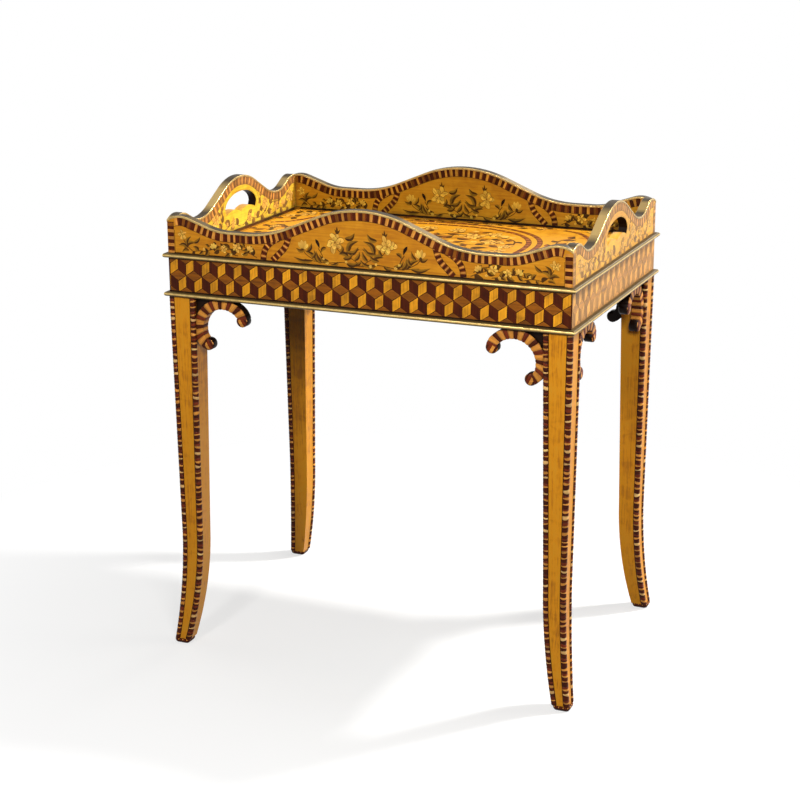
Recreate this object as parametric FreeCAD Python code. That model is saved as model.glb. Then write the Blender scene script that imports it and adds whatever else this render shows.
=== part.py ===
"""Tea table with a lift-off tray: four sabre legs, a parquetry frieze between two brass
beads, scroll brackets, and a tray with a shaped gallery and pierced hand-holds.

Millimetres, +Z up, front towards -Y, origin on the floor under the middle of the table.
"""
import FreeCAD, Part
import math
import os

from FreeCAD import Vector

os.makedirs("parts", exist_ok=True)

# ---- overall ----------------------------------------------------------------------------
table_length = 650.0        # left to right over the frieze
table_depth = 426.0         # front to back over the frieze
leg_height = 579.5          # floor to the underside of the frieze
frieze_height = 67.5        # underside of the frieze to the top of the stand

# ---- frieze -----------------------------------------------------------------------------
veneer = 1.5                # parquetry skin on the rails and leg tops
rail_thickness = 20.0
tenon_thickness = 9.0
tenon_shoulder = 9.0        # left above and below a tenon
tenon_gap = 3.0             # wood left between two tenons that share a leg
bead_height = 7.0           # brass bead
bead_projection = 7.0       # beyond the face of the frieze

# ---- legs -------------------------------------------------------------------------------
leg_top = 41.0              # across the leg where it meets the frieze
knee_height = 190.0         # where the straight taper turns into the sabre foot
knee_inset = 3.4            # outer faces behind the frieze at the knee
knee_size = 32.1
foot_kick = 11.0            # outer faces in front of the frieze at the floor
foot_size = 23.5
toe_height = 8.0
toe_margin = 1.6            # toe beyond the foot, all round
toe_round = 6.0             # under the toe
toe_ease = 1.4              # along its upper edges
toe_land = 0.3              # least edge left between the toe's roundings
corner_bead = 9.4           # diameter of the banded bead let into a leg's corner
corner_bead_proud = 2.2     # beyond the leg's face
bead_stations = 15          # sections in a corner bead's loft

# ---- scroll brackets --------------------------------------------------------------------
scroll_radius = 50.0        # outer edge
scroll_band = 16.5
scroll_curl_radius = 30.0   # outer edge where the ends tighten
scroll_eye_swell = 1.25     # radius of the round ends beyond half the band
scroll_leg_flat = 2.0       # planed off where the scroll meets the leg
scroll_rail_flat = 0.4      # and where it meets the rail
scroll_upper_turn = 86.0    # degrees from the corner's diagonal to where the ends tighten
scroll_lower_turn = 58.0
scroll_upper_curl = 40.0    # degrees turned by the tighter curl
scroll_lower_curl = 56.0
scroll_thickness = 17.0
scroll_setback = 2.5        # behind the face of the frieze

# ---- inside of the stand ----------------------------------------------------------------
bearer_width = 45.0
bearer_height = 18.0
bearer_lap = 12.0           # let into the front and back rails
bearer_spread = 220.0       # between the middles of the two bearers
brace_leg = 45.0            # along each rail
brace_height = 22.0
brace_rise = 10.0           # above the underside of the frieze

# ---- tray -------------------------------------------------------------------------------
floor_thickness = 10.0
lip = 6.5                   # frieze left outside the pocket that takes the tray's floor
floor_clearance = 0.7       # between the floor's edge and the pocket
tray_gap = 0.3              # shadow gap between the gallery and the stand
gallery_thickness = 14.0
cap_thickness = 3.0         # brass capping on the gallery
cap_overhang = 0.5
cap_round = 1.3

# The gallery's top edge is arcs joined by their common tangents. Heights are above the
# gallery's foot, and insets are from the corner of the tray.
long_peak_height = 87.2
long_peak_radius = 190.0
long_hollow_inset = 103.0
long_hollow_flat = 32.0     # between the hollow's two arcs
long_hollow_height = 39.0
long_hollow_inner_radius = 180.0
long_hollow_outer_radius = 100.0
end_peak_height = 86.7
end_peak_radius = 105.0
end_hollow_inset = 79.0
end_hollow_height = 40.7
end_hollow_inner_radius = 90.0
end_hollow_outer_radius = 50.0
corner_crest_inset = 22.0
corner_crest_height = 58.7
corner_crest_radius = 40.0
flank_fill = 0.97           # most of a flank's room that its two arcs may take
hollow_share = 0.25         # least of that room left to the hollow's arc

# Hand-hold pierced in each end of the gallery, heights above the gallery's foot.
hand_half_width = 53.0
hand_waist = 37.0
hand_rise = 24.5            # waist to the top of the arch
hand_foot_half = 49.0
hand_foot = 28.0
hand_lobe = 6.0             # the two lobes of the lower edge above its ends

# ---- fixings ----------------------------------------------------------------------------
dowel_diameter = 6.0
dowel_in_scroll = 10.0
dowel_in_frame = 12.0
pin_diameter = 1.2
pin_in_wood = 11.0
pin_cover = 1.0             # brass left in front of a pin
bead_pin_count_long = 5
bead_pin_count_end = 3
screw_diameter = 3.0
screw_head = 5.6
screw_head_depth = 1.8
floor_screw_length = 24.0
floor_screw_count_long = 5
floor_screw_count_end = 3
brace_screw_length = 42.0
spline_thickness = 2.0
spline_width = 8.0
spline_cover = 5.0          # wood left above and below the key

# ---- derived ----------------------------------------------------------------------------
stand_top = leg_height + frieze_height
pocket_depth = floor_thickness - tray_gap
pocket_floor = stand_top - pocket_depth
gallery_foot = stand_top + tray_gap
rail_back = veneer + rail_thickness
rail_middle = veneer + rail_thickness / 2
tenon_length = leg_top - rail_middle - tenon_thickness / 2 - tenon_gap
bead_centre_inset = corner_bead / 2 - corner_bead_proud
toe_corner = corner_bead / 2 + toe_margin
corner_drop = corner_crest_radius - math.sqrt(corner_crest_radius ** 2 - corner_crest_inset ** 2)
corner_height = corner_crest_height - corner_drop - cap_thickness
scroll_eye = scroll_band / 2 + scroll_eye_swell
scroll_beside_leg = scroll_radius - scroll_leg_flat
scroll_below_rail = scroll_radius - scroll_rail_flat
scroll_middle = scroll_setback + scroll_thickness / 2
floor_edge = lip + floor_clearance
floor_screw_line = (floor_edge + gallery_thickness) / 2
far = 2 * (table_length + stand_top)

# Each kind of side: its length, the distance to the opposite side, and the two places it
# stands in, as names with quarter turns from the front.
LONG_SIDE = (table_length, table_depth, (("front", 0), ("back", 2)))
END_SIDE = (table_depth, table_length, (("right", 1), ("left", 3)))
# Quarter turns from the front left corner, the corner of the frieze that it stands under,
# the leg's name, and the sides that the corner's own X and Y run along.
CORNERS = [
    (0, (-1, -1), "front_left", ("front", "left")),
    (1, (1, -1), "front_right", ("right", "front")),
    (2, (1, 1), "back_right", ("back", "right")),
    (3, (-1, 1), "back_left", ("left", "back")),
]


# ---- helpers ----------------------------------------------------------------------------
def block(x0, y0, z0, x1, y1, z1):
    """Box between two opposite corners."""
    return Part.makeBox(x1 - x0, y1 - y0, z1 - z0, Vector(x0, y0, z0))


def turned(shape, quarters):
    """A copy turned about the table's vertical axis."""
    copy = shape.copy()
    copy.rotate(Vector(0, 0, 0), Vector(0, 0, 1), 90 * quarters)
    return copy


def at_corner(shape, quarters, corner):
    """A copy of something drawn in the corner's own frame, put at one corner of the frieze."""
    copy = turned(shape, quarters)
    copy.translate(Vector(corner[0] * table_length / 2, corner[1] * table_depth / 2, 0))
    return copy


def at_ends(shapes, length, face):
    """Copies of things drawn in the corner's own frame, put at both ends of a side."""
    copies = []
    for shape in shapes:
        left = shape.copy()
        left.translate(Vector(-length / 2, -face / 2, 0))
        copies += [left, left.mirror(Vector(0, 0, 0), Vector(1, 0, 0))]
    return copies


def swapped(shape):
    """A copy across the corner's diagonal, for the leg's other face."""
    return shape.mirror(Vector(0, 0, 0), Vector(1, -1, 0))


def polar(centre, radius, degrees):
    """Point on a circle in the XY plane."""
    angle = math.radians(degrees)
    return centre + Vector(radius * math.cos(angle), radius * math.sin(angle), 0)


def arc(centre, radius, start, end):
    """Arc in the XY plane from one angle to another, in degrees."""
    middle = polar(centre, radius, (start + end) / 2)
    return Part.Arc(polar(centre, radius, start), middle, polar(centre, radius, end)).toShape()


def line(start, end):
    """Straight edge."""
    return Part.LineSegment(start, end).toShape()


def upright(edges, depth):
    """Solid from a closed outline drawn in XY, stood up in XZ and given depth along +Y."""
    face = Part.Face(Part.Wire(Part.__sortEdges__(edges)))
    face.rotate(Vector(0, 0, 0), Vector(1, 0, 0), 90)
    return face.extrude(Vector(0, depth, 0))


def mitred(shape, length, face, inner, outer):
    """The part of a front-side shape between two depths behind the face, mitred at both ends."""
    corners = []
    for depth, end in ((outer, -1), (outer, 1), (inner, 1), (inner, -1)):
        corners.append(Vector(end * (length / 2 - depth), depth - face / 2, -1))
    prism = Part.Face(Part.makePolygon(corners + corners[:1])).extrude(Vector(0, 0, far))
    return shape.common(prism)


def spaced(count, span):
    """Evenly spaced places along a span, the outer ones half a pitch from its ends."""
    pitch = span / count
    return [(index - (count - 1) / 2) * pitch for index in range(count)]


def rod(start, direction, diameter, length):
    """Round rod from a point along a direction."""
    return Part.makeCylinder(diameter / 2, length, start, direction)


def screw(start, direction, length):
    """Countersunk screw, its head's flat face at the start."""
    head = Part.makeCone(screw_head / 2, screw_diameter / 2, screw_head_depth, start, direction)
    return head.fuse(rod(start, direction, screw_diameter, length))


def group(solids):
    """Separate solids kept in one node."""
    return Part.makeCompound(solids)


# ---- corners, drawn in their own frame: +X and +Y run inwards from the corner -----------
def foot_edge(knee, foot):
    """Sabre curve from the knee to the floor, drawn as (inset, height)."""
    middle = knee + (foot - knee) / 4
    return Part.Arc(Vector(knee, knee_height, 0), Vector(middle, knee_height / 2, 0),
                    Vector(foot, 0, 0)).toShape()


def outer_inset(height):
    """How far a leg's outer faces stand behind the frieze's face."""
    if height >= knee_height:
        return knee_inset * (leg_height - height) / (leg_height - knee_height)
    edge = foot_edge(knee_inset, -foot_kick)
    return edge.distToShape(line(Vector(-far, height, 0), Vector(far, height, 0)))[1][0][0].x


def inner_inset(height):
    """How far a leg's inner faces stand behind the frieze's face."""
    knee = knee_inset + knee_size
    if height >= knee_height:
        share = (leg_height - height) / (leg_height - knee_height)
        return leg_top + (knee - leg_top) * share
    edge = foot_edge(knee, foot_size - foot_kick)
    return edge.distToShape(line(Vector(-far, height, 0), Vector(far, height, 0)))[1][0][0].x


def leg_slab():
    """The leg's side outline, given depth along +Y."""
    knee = knee_inset + knee_size
    foot = foot_size - foot_kick
    edges = [
        line(Vector(leg_top, stand_top, 0), Vector(veneer, stand_top, 0)),
        line(Vector(veneer, stand_top, 0), Vector(veneer, leg_height, 0)),
        line(Vector(veneer, leg_height, 0), Vector(0, leg_height, 0)),
        line(Vector(0, leg_height, 0), Vector(knee_inset, knee_height, 0)),
        foot_edge(knee_inset, -foot_kick),
        line(Vector(-foot_kick, 0, 0), Vector(foot, 0, 0)),
        foot_edge(knee, foot),
        line(Vector(knee, knee_height, 0), Vector(leg_top, leg_height, 0)),
        line(Vector(leg_top, leg_height, 0), Vector(leg_top, stand_top, 0)),
    ]
    slab = upright(edges, far)
    slab.translate(Vector(0, -far / 2, 0))
    return slab


def leg_blank():
    """Leg with the same side outline both ways, cut off at the toe and pocketed for the tray."""
    slab = leg_slab()
    blank = slab.common(swapped(slab))
    blank = blank.cut(block(-far, -far, -1, far, far, toe_height))
    return blank.cut(block(lip, lip, pocket_floor, far, far, far))


def tenon():
    """Tenon of the rail that runs along X."""
    return block(leg_top - tenon_length, rail_middle - tenon_thickness / 2,
                 leg_height + tenon_shoulder,
                 leg_top, rail_middle + tenon_thickness / 2, pocket_floor - tenon_shoulder)


def corner_beads():
    """Round banded beads on the outermost corner and the two side corners of a leg."""
    beads = []
    heights = [toe_height + (leg_height - toe_height) * index / (bead_stations - 1)
               for index in range(bead_stations)]
    outer = [outer_inset(height) + bead_centre_inset for height in heights]
    inner = [inner_inset(height) - bead_centre_inset for height in heights]
    for across, along in ((outer, outer), (inner, outer), (outer, inner)):
        rings = []
        for x, y, z in zip(across, along, heights):
            circle = Part.makeCircle(corner_bead / 2, Vector(x, y, z), Vector(0, 0, 1))
            rings.append(Part.Wire(circle))
        beads.append(Part.makeLoft(rings, True, False))
    return beads


def toe():
    """Rounded toe under the foot."""
    near = -foot_kick - toe_margin
    side = foot_size + 2 * toe_margin
    plate = block(near, near, 0, near + side, near + side, toe_height)
    upright_edges = [edge for edge in plate.Edges
                     if abs(edge.Vertexes[0].Z - edge.Vertexes[1].Z) > toe_height / 2]
    plate = plate.makeFillet(toe_corner, upright_edges)
    under = min(toe_round, toe_corner - toe_land, toe_height - toe_ease - toe_land)
    lower_edges = [edge for edge in plate.Edges if edge.BoundBox.ZMax < toe_height / 4]
    plate = plate.makeFillet(under, lower_edges)
    upper_edges = [edge for edge in plate.Edges if edge.BoundBox.ZMin > toe_height - 1e-3]
    return plate.makeFillet(toe_ease, upper_edges)


def brace():
    """Glue block in the corner between two rails, round the leg's inner corner."""
    inside = rail_back
    reach = leg_top + brace_leg
    points = [Vector(inside, leg_top, 0), Vector(leg_top, leg_top, 0), Vector(leg_top, inside, 0),
              Vector(reach, inside, 0), Vector(inside, reach, 0)]
    face = Part.Face(Part.makePolygon(points + points[:1]))
    solid = face.extrude(Vector(0, 0, brace_height))
    solid.translate(Vector(0, 0, leg_height + brace_rise))
    return solid


def brace_screw():
    """Screw through the brace into the leg, its head sunk flush in the brace's long face."""
    middle = (rail_back + leg_top + brace_leg) / 2
    start = Vector(middle, middle, leg_height + brace_rise + brace_height / 2)
    return screw(start, Vector(-1, -1, 0), brace_screw_length)


def scroll_end(centre, end, curl):
    """Curled end of the scroll: its tighter outer and inner curves and its round eye.

    end is the angle where the curve tightens and curl the signed angle turned after it.
    """
    sign = math.copysign(1, curl)
    inside = scroll_curl_radius - scroll_band
    reach = scroll_curl_radius - scroll_eye
    tight = polar(centre, scroll_radius - scroll_curl_radius, end)
    tip = end + curl
    spread = math.degrees(math.acos((inside ** 2 + reach ** 2 - scroll_eye ** 2)
                                    / (2 * inside * reach)))
    eye = polar(tight, reach, tip)
    cusp = polar(tight, inside, tip - sign * spread) - eye
    turn = math.degrees(math.atan2(cusp.y, cusp.x)) - tip
    return [arc(tight, scroll_curl_radius, end, tip),
            arc(tight, inside, end, tip - sign * spread),
            arc(eye, scroll_eye, tip, tip + sign * ((sign * turn) % 360))]


def scroll():
    """C-scroll in the corner between a leg and the frieze, on the side along X."""
    centre = Vector(scroll_beside_leg, -scroll_below_rail, 0)
    diagonal = 135
    upper = diagonal - scroll_upper_turn
    lower = diagonal + scroll_lower_turn
    edges = [arc(centre, scroll_radius, upper, lower),
             arc(centre, scroll_radius - scroll_band, upper, lower)]
    edges += scroll_end(centre, upper, -scroll_upper_curl)
    edges += scroll_end(centre, lower, scroll_lower_curl)
    solid = upright(edges, scroll_thickness)
    solid.translate(Vector(scroll_start(), scroll_setback, leg_height))
    return solid.cut(block(-far, -far, leg_height, far, far, far))


def scroll_start():
    """Where the leg's inner face stands at the height of the scroll's middle."""
    return inner_inset(leg_height - scroll_below_rail)


def scroll_dowels():
    """Dowels from a scroll into the rail above it and the leg beside it."""
    start = scroll_start()
    run = dowel_in_scroll + dowel_in_frame
    above = Vector(start + scroll_beside_leg, scroll_middle, leg_height - dowel_in_scroll)
    beside = Vector(start + dowel_in_scroll, scroll_middle, leg_height - scroll_below_rail)
    return [rod(above, Vector(0, 0, 1), dowel_diameter, run),
            rod(beside, Vector(-1, 0, 0), dowel_diameter, run)]


def spline():
    """Thin key across a mitred corner of the gallery."""
    key = block(-spline_width / 2, -spline_thickness / 2, spline_cover,
                spline_width / 2, spline_thickness / 2, corner_height - spline_cover)
    key.rotate(Vector(0, 0, 0), Vector(0, 0, 1), -45)
    middle = gallery_thickness / 2
    key.translate(Vector(middle, middle, gallery_foot))
    return key


# ---- sides, drawn at the front and turned into place ------------------------------------
def rail(length, face):
    """Frieze rail with a tenon at each end."""
    front = -face / 2 + veneer
    half = length / 2 - leg_top
    body = block(-half, front, leg_height, half, front + rail_thickness, stand_top)
    return body.fuse(at_ends([tenon()], length, face)).removeSplitter()


def frieze_skin(length, face):
    """Parquetry veneer between the two beads."""
    sheet = block(-length, -face / 2, leg_height + bead_height,
                  length, -face / 2 + veneer, stand_top - bead_height)
    return mitred(sheet, length, face, veneer, 0)


def brass_bead(length, face, bottom):
    """Half-round brass bead, flat against the rail."""
    radius = bead_height / 2
    back = veneer
    spring = radius - bead_projection
    middle = Vector(spring, bottom + radius, 0)
    edges = [
        line(Vector(spring, bottom, 0), Vector(back, bottom, 0)),
        line(Vector(back, bottom, 0), Vector(back, bottom + bead_height, 0)),
        line(Vector(back, bottom + bead_height, 0), Vector(spring, bottom + bead_height, 0)),
        arc(middle, radius, 90, 270),
    ]
    bar = upright(edges, length * 2)
    bar.rotate(Vector(0, 0, 0), Vector(0, 0, 1), 90)
    bar.translate(Vector(length, 0, 0))
    bar.translate(Vector(0, -face / 2, 0))
    return mitred(bar, length, face, veneer, -bead_projection)


def bead_pins_of(length, face, count):
    """Pins behind the brass beads of one side, the upper ones short of the tray's pocket."""
    pins = []
    reach = bead_projection - pin_cover
    upper = stand_top - bead_height
    for bottom, end in ((leg_height, veneer + pin_in_wood), (upper, lip - pin_cover)):
        for x in spaced(count, length - 2 * leg_top):
            start = Vector(x, -face / 2 - reach, bottom + bead_height / 2)
            pins.append(rod(start, Vector(0, 1, 0), pin_diameter, reach + end))
    return pins


def crest_line(stations, drop, half):
    """Edges of a gallery's top from end to end; a drop gives the line parallel below it."""
    circles = [(u, w - drop, r - drop) for u, w, r in stations]
    centres = [Vector(u, w - r, 0) for u, w, r in circles]
    edges = []
    first = circles[0]
    height = centres[0].y + math.sqrt(first[2] ** 2 - (half + first[0]) ** 2)
    start = Vector(-half, height, 0)
    for index in range(len(circles) - 1):
        leave, meet = common_tangent(centres[index], circles[index][2],
                                     centres[index + 1], circles[index + 1][2])
        edges.append(arc_between(centres[index], circles[index][2], start, leave))
        if leave.distanceToPoint(meet) > 1e-6:
            edges.append(line(leave, meet))
        start = meet
    edges.append(arc_between(centres[-1], circles[-1][2], start, Vector(half, height, 0)))
    return [edge for edge in edges if edge is not None]


def common_tangent(first, first_radius, second, second_radius):
    """Ends of the line from one arc of the crest line to the next."""
    if first_radius * second_radius > 0:
        return (first + Vector(0, first_radius, 0), second + Vector(0, second_radius, 0))
    between = second - first
    if first_radius < 0:
        between = first - second
    lean = math.acos((abs(first_radius) + abs(second_radius)) / between.Length)
    normal = math.atan2(between.y, between.x) + math.copysign(lean, between.x)
    outward = Vector(math.cos(normal), math.sin(normal), 0)
    return (first + outward * first_radius, second + outward * second_radius)


def arc_between(centre, radius, start, end):
    """Arc of the crest line between two points, or None where they are one point."""
    if start.distanceToPoint(end) < 1e-6:
        return None
    chord = (start + end) / 2 - centre
    chord.normalize()
    return Part.Arc(start, centre + chord * abs(radius), end).toShape()


def eased(run, rise, crest, hollow):
    """Radii of a flank's crest and hollow, the hollow tightened first where the run is short."""
    room = flank_fill * (run ** 2 + rise ** 2) / (2 * rise)
    hollow = min(hollow, max(room - crest, hollow_share * room))
    return min(crest, room - hollow), hollow


def stations(length, peak_height, peak_radius, inset, flat, low, inner_radius, outer_radius):
    """Crests and hollows of one side, left to right: place, height, radius (hollows negative)."""
    outer = length / 2 - inset
    inner = outer - flat
    crest = length / 2 - corner_crest_inset
    peak, inner_hollow = eased(inner, peak_height - low, peak_radius, inner_radius)
    corner, outer_hollow = eased(crest - outer, corner_crest_height - low,
                                 corner_crest_radius, outer_radius)
    half = [(inner, low, -inner_hollow), (outer, low, -outer_hollow),
            (crest, corner_crest_height, corner)]
    mirrored = [(-u, w, r) for u, w, r in reversed(half)]
    return mirrored + [(0, peak_height, peak)] + half


def long_stations():
    """Top edge of the gallery's front and back."""
    return stations(table_length, long_peak_height, long_peak_radius, long_hollow_inset,
                    long_hollow_flat, long_hollow_height, long_hollow_inner_radius,
                    long_hollow_outer_radius)


def end_stations():
    """Top edge of the gallery's ends."""
    return stations(table_depth, end_peak_height, end_peak_radius, end_hollow_inset, 0,
                    end_hollow_height, end_hollow_inner_radius, end_hollow_outer_radius)


def gallery_band(crests, length, face, top, bottom, inner, outer):
    """Gallery material between two crest lines, or down to the foot where bottom is None."""
    half = length / 2 - outer
    edges = crest_line(crests, top, half)
    left, right = line_ends(edges)
    if bottom is None:
        low_left = Vector(-half, 0, 0)
        low_right = Vector(half, 0, 0)
        lower = [line(low_left, low_right)]
    else:
        lower = crest_line(crests, bottom, half)
        low_left, low_right = line_ends(lower)
    outline = edges + lower + [line(left, low_left), line(right, low_right)]
    band = upright(outline, inner - outer)
    band.translate(Vector(0, outer - face / 2, gallery_foot))
    return band


def line_ends(edges):
    """Left and right ends of a crest line."""
    left = min(edges[0].Vertexes, key=lambda vertex: vertex.X).Point
    right = max(edges[-1].Vertexes, key=lambda vertex: vertex.X).Point
    return left, right


def hand_hole(face):
    """Pierced hand-hold: a flat arch over two shallow lobes."""
    ellipse = Part.Ellipse(Vector(0, hand_waist, 0), hand_half_width, hand_rise)
    arch = Part.ArcOfEllipse(ellipse, 0, math.pi).toShape()
    notch = Vector(0, hand_foot, 0)
    edges = [arch]
    for end in (-1, 1):
        foot = Vector(end * hand_foot_half, hand_foot, 0)
        crown = Vector(end * hand_foot_half / 2, hand_foot + hand_lobe, 0)
        edges.append(Part.Arc(notch, crown, foot).toShape())
        edges.append(line(foot, Vector(end * hand_half_width, hand_waist, 0)))
    hole = upright(edges, 3 * gallery_thickness)
    hole.translate(Vector(0, -face / 2 - gallery_thickness, gallery_foot))
    return hole


def gallery_board(crests, length, face):
    """Shaped board of the gallery, mitred at both ends."""
    board = gallery_band(crests, length, face, cap_thickness, None, gallery_thickness, 0)
    return mitred(board, length, face, gallery_thickness, 0)


def gallery_cap(crests, length, face):
    """Brass capping along a board's top edge, rounded on both upper arrises."""
    inner = gallery_thickness + cap_overhang
    strip = gallery_band(crests, length, face, 0, cap_thickness, inner, -cap_overhang)
    half = length / 2 + cap_overhang
    crest = Part.Wire(Part.__sortEdges__(crest_line(crests, 0, half)))
    arrises = [edge for edge in strip.Edges if on_crest(edge, crest)]
    strip = strip.makeFillet(cap_round, arrises)
    return mitred(strip, length, face, inner, -cap_overhang)


def on_crest(edge, crest):
    """Whether an edge runs along the capping's upper surface."""
    if edge.BoundBox.YLength > 1e-6 or edge.BoundBox.XLength < 1e-3:
        return False
    middle = edge.valueAt((edge.FirstParameter + edge.LastParameter) / 2)
    probe = Part.Vertex(Vector(middle.x, middle.z - gallery_foot, 0))
    return crest.distToShape(probe)[0] < cap_thickness / 4


def cap_pins_of(crests, face):
    """Pins down through the capping at its crests and hollows."""
    pins = []
    for u, w in sorted({(round(u, 3), w) for u, w, r in crests}):
        start = Vector(u, -face / 2 + gallery_thickness / 2, gallery_foot + w - pin_cover)
        depth = cap_thickness - pin_cover + pin_in_wood
        pins.append(rod(start, Vector(0, 0, -1), pin_diameter, depth))
    return pins


def floor_screws_of(length, face, count):
    """Screws up through the tray's floor into one side of the gallery."""
    screws = []
    for x in spaced(count, length):
        start = Vector(x, -face / 2 + floor_screw_line, pocket_floor)
        screws.append(screw(start, Vector(0, 0, 1), floor_screw_length))
    return screws


# ---- cross pieces and the tray's floor --------------------------------------------------
def bearer(middle):
    """Cross bearer under the tray's floor, lapped into the front and back rails."""
    reach = table_depth / 2 - rail_back + bearer_lap
    return block(middle - bearer_width / 2, -reach, pocket_floor - bearer_height,
                 middle + bearer_width / 2, reach, pocket_floor)


def tray_floor():
    """Tray floor, dropped into the pocket of the frieze."""
    half_length = table_length / 2 - floor_edge
    half_depth = table_depth / 2 - floor_edge
    return block(-half_length, -half_depth, pocket_floor,
                 half_length, half_depth, pocket_floor + floor_thickness)


def pocket(length, face):
    """Space in the top of the stand that takes the tray's floor."""
    half_length = length / 2 - lip
    half_depth = face / 2 - lip
    return block(-half_length, -half_depth, pocket_floor, half_length, half_depth, far)


# ---- assembly ---------------------------------------------------------------------------
def side_pieces(length, face, crests, crossing, openings, bead_pins, floor_screws):
    """One side's pieces, drawn at the front, with every hole cut for what sits in it."""
    cap_pins = cap_pins_of(crests, face)
    dowels = at_ends(scroll_dowels()[:1], length, face)
    keys = at_ends([spline()], length, face)
    in_rail = [pocket(length, face)] + crossing + dowels + bead_pins
    board = gallery_board(crests, length, face)
    return {
        "rail_": rail(length, face).cut(in_rail),
        "frieze_veneer_": frieze_skin(length, face),
        "lower_bead_": brass_bead(length, face, leg_height).cut(bead_pins),
        "upper_bead_": brass_bead(length, face, stand_top - bead_height).cut(bead_pins),
        "gallery_": board.cut(openings + floor_screws + cap_pins + keys),
        "gallery_cap_": gallery_cap(crests, length, face).cut(cap_pins),
    }


def corner_pieces():
    """One corner's pieces, and the dowels, brace screw and key that stand in it."""
    beads = corner_beads()
    dowels = scroll_dowels()
    dowels += [swapped(dowel) for dowel in dowels]
    fixing = brace_screw()
    leg = leg_blank().cut(beads + [tenon(), swapped(tenon()), fixing] + dowels)
    pieces = {
        "leg_": leg,
        "leg_beads_": group(beads),
        "toe_": toe(),
        "corner_brace_": brace().cut(fixing),
    }
    return pieces, scroll().cut(dowels + beads + [leg]), dowels, fixing


def build():
    """All pieces by node name."""
    nodes = {}
    fixings = {"scroll_dowels": [], "bead_pins": [], "cap_pins": [], "floor_screws": [],
               "brace_screws": [], "gallery_splines": []}
    bearers = [bearer(-bearer_spread / 2), bearer(bearer_spread / 2)]
    long_kind = (LONG_SIDE, long_stations(), bearers, [], bead_pin_count_long, floor_screw_count_long)
    end_kind = (END_SIDE, end_stations(), [], [hand_hole(table_length)], bead_pin_count_end,
                floor_screw_count_end)

    for (length, face, places), crests, crossing, openings, pins, screws in (long_kind, end_kind):
        bead_pins = bead_pins_of(length, face, pins)
        floor_screws = floor_screws_of(length, face, screws)
        pieces = side_pieces(length, face, crests, crossing, openings, bead_pins, floor_screws)
        for name, quarters in places:
            for kind, piece in pieces.items():
                nodes[kind + name] = turned(piece, quarters)
            fixings["bead_pins"] += [turned(pin, quarters) for pin in bead_pins]
            fixings["cap_pins"] += [turned(pin, quarters) for pin in cap_pins_of(crests, face)]
            fixings["floor_screws"] += [turned(each, quarters) for each in floor_screws]

    pieces, bracket, dowels, fixing = corner_pieces()
    for quarters, corner, name, sides in CORNERS:
        for kind, piece in pieces.items():
            nodes[kind + name] = at_corner(piece, quarters, corner)
        nodes["scroll_" + "_".join(sides)] = at_corner(bracket, quarters, corner)
        nodes["scroll_" + "_".join(reversed(sides))] = at_corner(swapped(bracket), quarters, corner)
        fixings["scroll_dowels"] += [at_corner(dowel, quarters, corner) for dowel in dowels]
        fixings["brace_screws"].append(at_corner(fixing, quarters, corner))
        fixings["gallery_splines"].append(at_corner(spline(), quarters, corner))

    nodes["bearer_left"], nodes["bearer_right"] = bearers
    nodes["tray_floor"] = tray_floor().cut(fixings["floor_screws"])
    for kind, solids in fixings.items():
        nodes[kind] = group(solids)
    return nodes


for node_name, node_shape in build().items():
    node_shape.exportStep("parts/" + node_name + ".step")
    solids = len(node_shape.Solids)
    print(node_name, solids, "solid" if solids == 1 else "solids",
          "valid" if node_shape.isValid() else "INVALID", round(node_shape.Volume))
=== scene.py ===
"""Dresses the tea table: veneers, marquetry, turned banding, scrolls, brass and the stage.

Drawings are in millimetres and are turned into metres where they are placed.
"""

import bisect
import math
import random

import bmesh
import bpy
from bpy.props import FloatProperty, FloatVectorProperty, IntProperty, PointerProperty
from mathutils import Matrix, Vector


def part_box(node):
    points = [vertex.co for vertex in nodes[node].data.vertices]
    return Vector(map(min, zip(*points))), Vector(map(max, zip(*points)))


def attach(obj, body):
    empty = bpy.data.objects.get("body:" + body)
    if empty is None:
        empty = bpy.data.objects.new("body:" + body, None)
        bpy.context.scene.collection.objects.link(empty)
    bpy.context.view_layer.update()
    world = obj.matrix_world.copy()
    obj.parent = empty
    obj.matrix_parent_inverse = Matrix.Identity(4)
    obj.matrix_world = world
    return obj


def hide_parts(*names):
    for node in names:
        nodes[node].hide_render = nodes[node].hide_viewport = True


bl_info = {
    "name": "Tea table dressing",
    "version": (1, 0, 0),
    "blender": (4, 5, 0),
    "location": "View3D > Sidebar > Tea table",
    "description": "Finishes and fine pieces of a marquetry tea table on its fixed frame",
    "category": "Object",
}

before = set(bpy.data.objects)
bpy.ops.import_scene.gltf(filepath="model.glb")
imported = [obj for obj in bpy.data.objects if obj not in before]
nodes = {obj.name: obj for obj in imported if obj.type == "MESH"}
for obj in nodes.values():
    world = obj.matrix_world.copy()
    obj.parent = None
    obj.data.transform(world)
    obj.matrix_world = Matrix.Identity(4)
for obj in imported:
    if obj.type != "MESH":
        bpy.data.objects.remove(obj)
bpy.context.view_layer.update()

MM = 0.001
SIDES = ("front", "right", "back", "left")
CORNERS = ("front_left", "front_right", "back_right", "back_left")


def span(node, axis):
    """Lowest and highest place of a node along one axis, in millimetres."""
    low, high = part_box(node)
    return low[axis] / MM, high[axis] / MM


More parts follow.
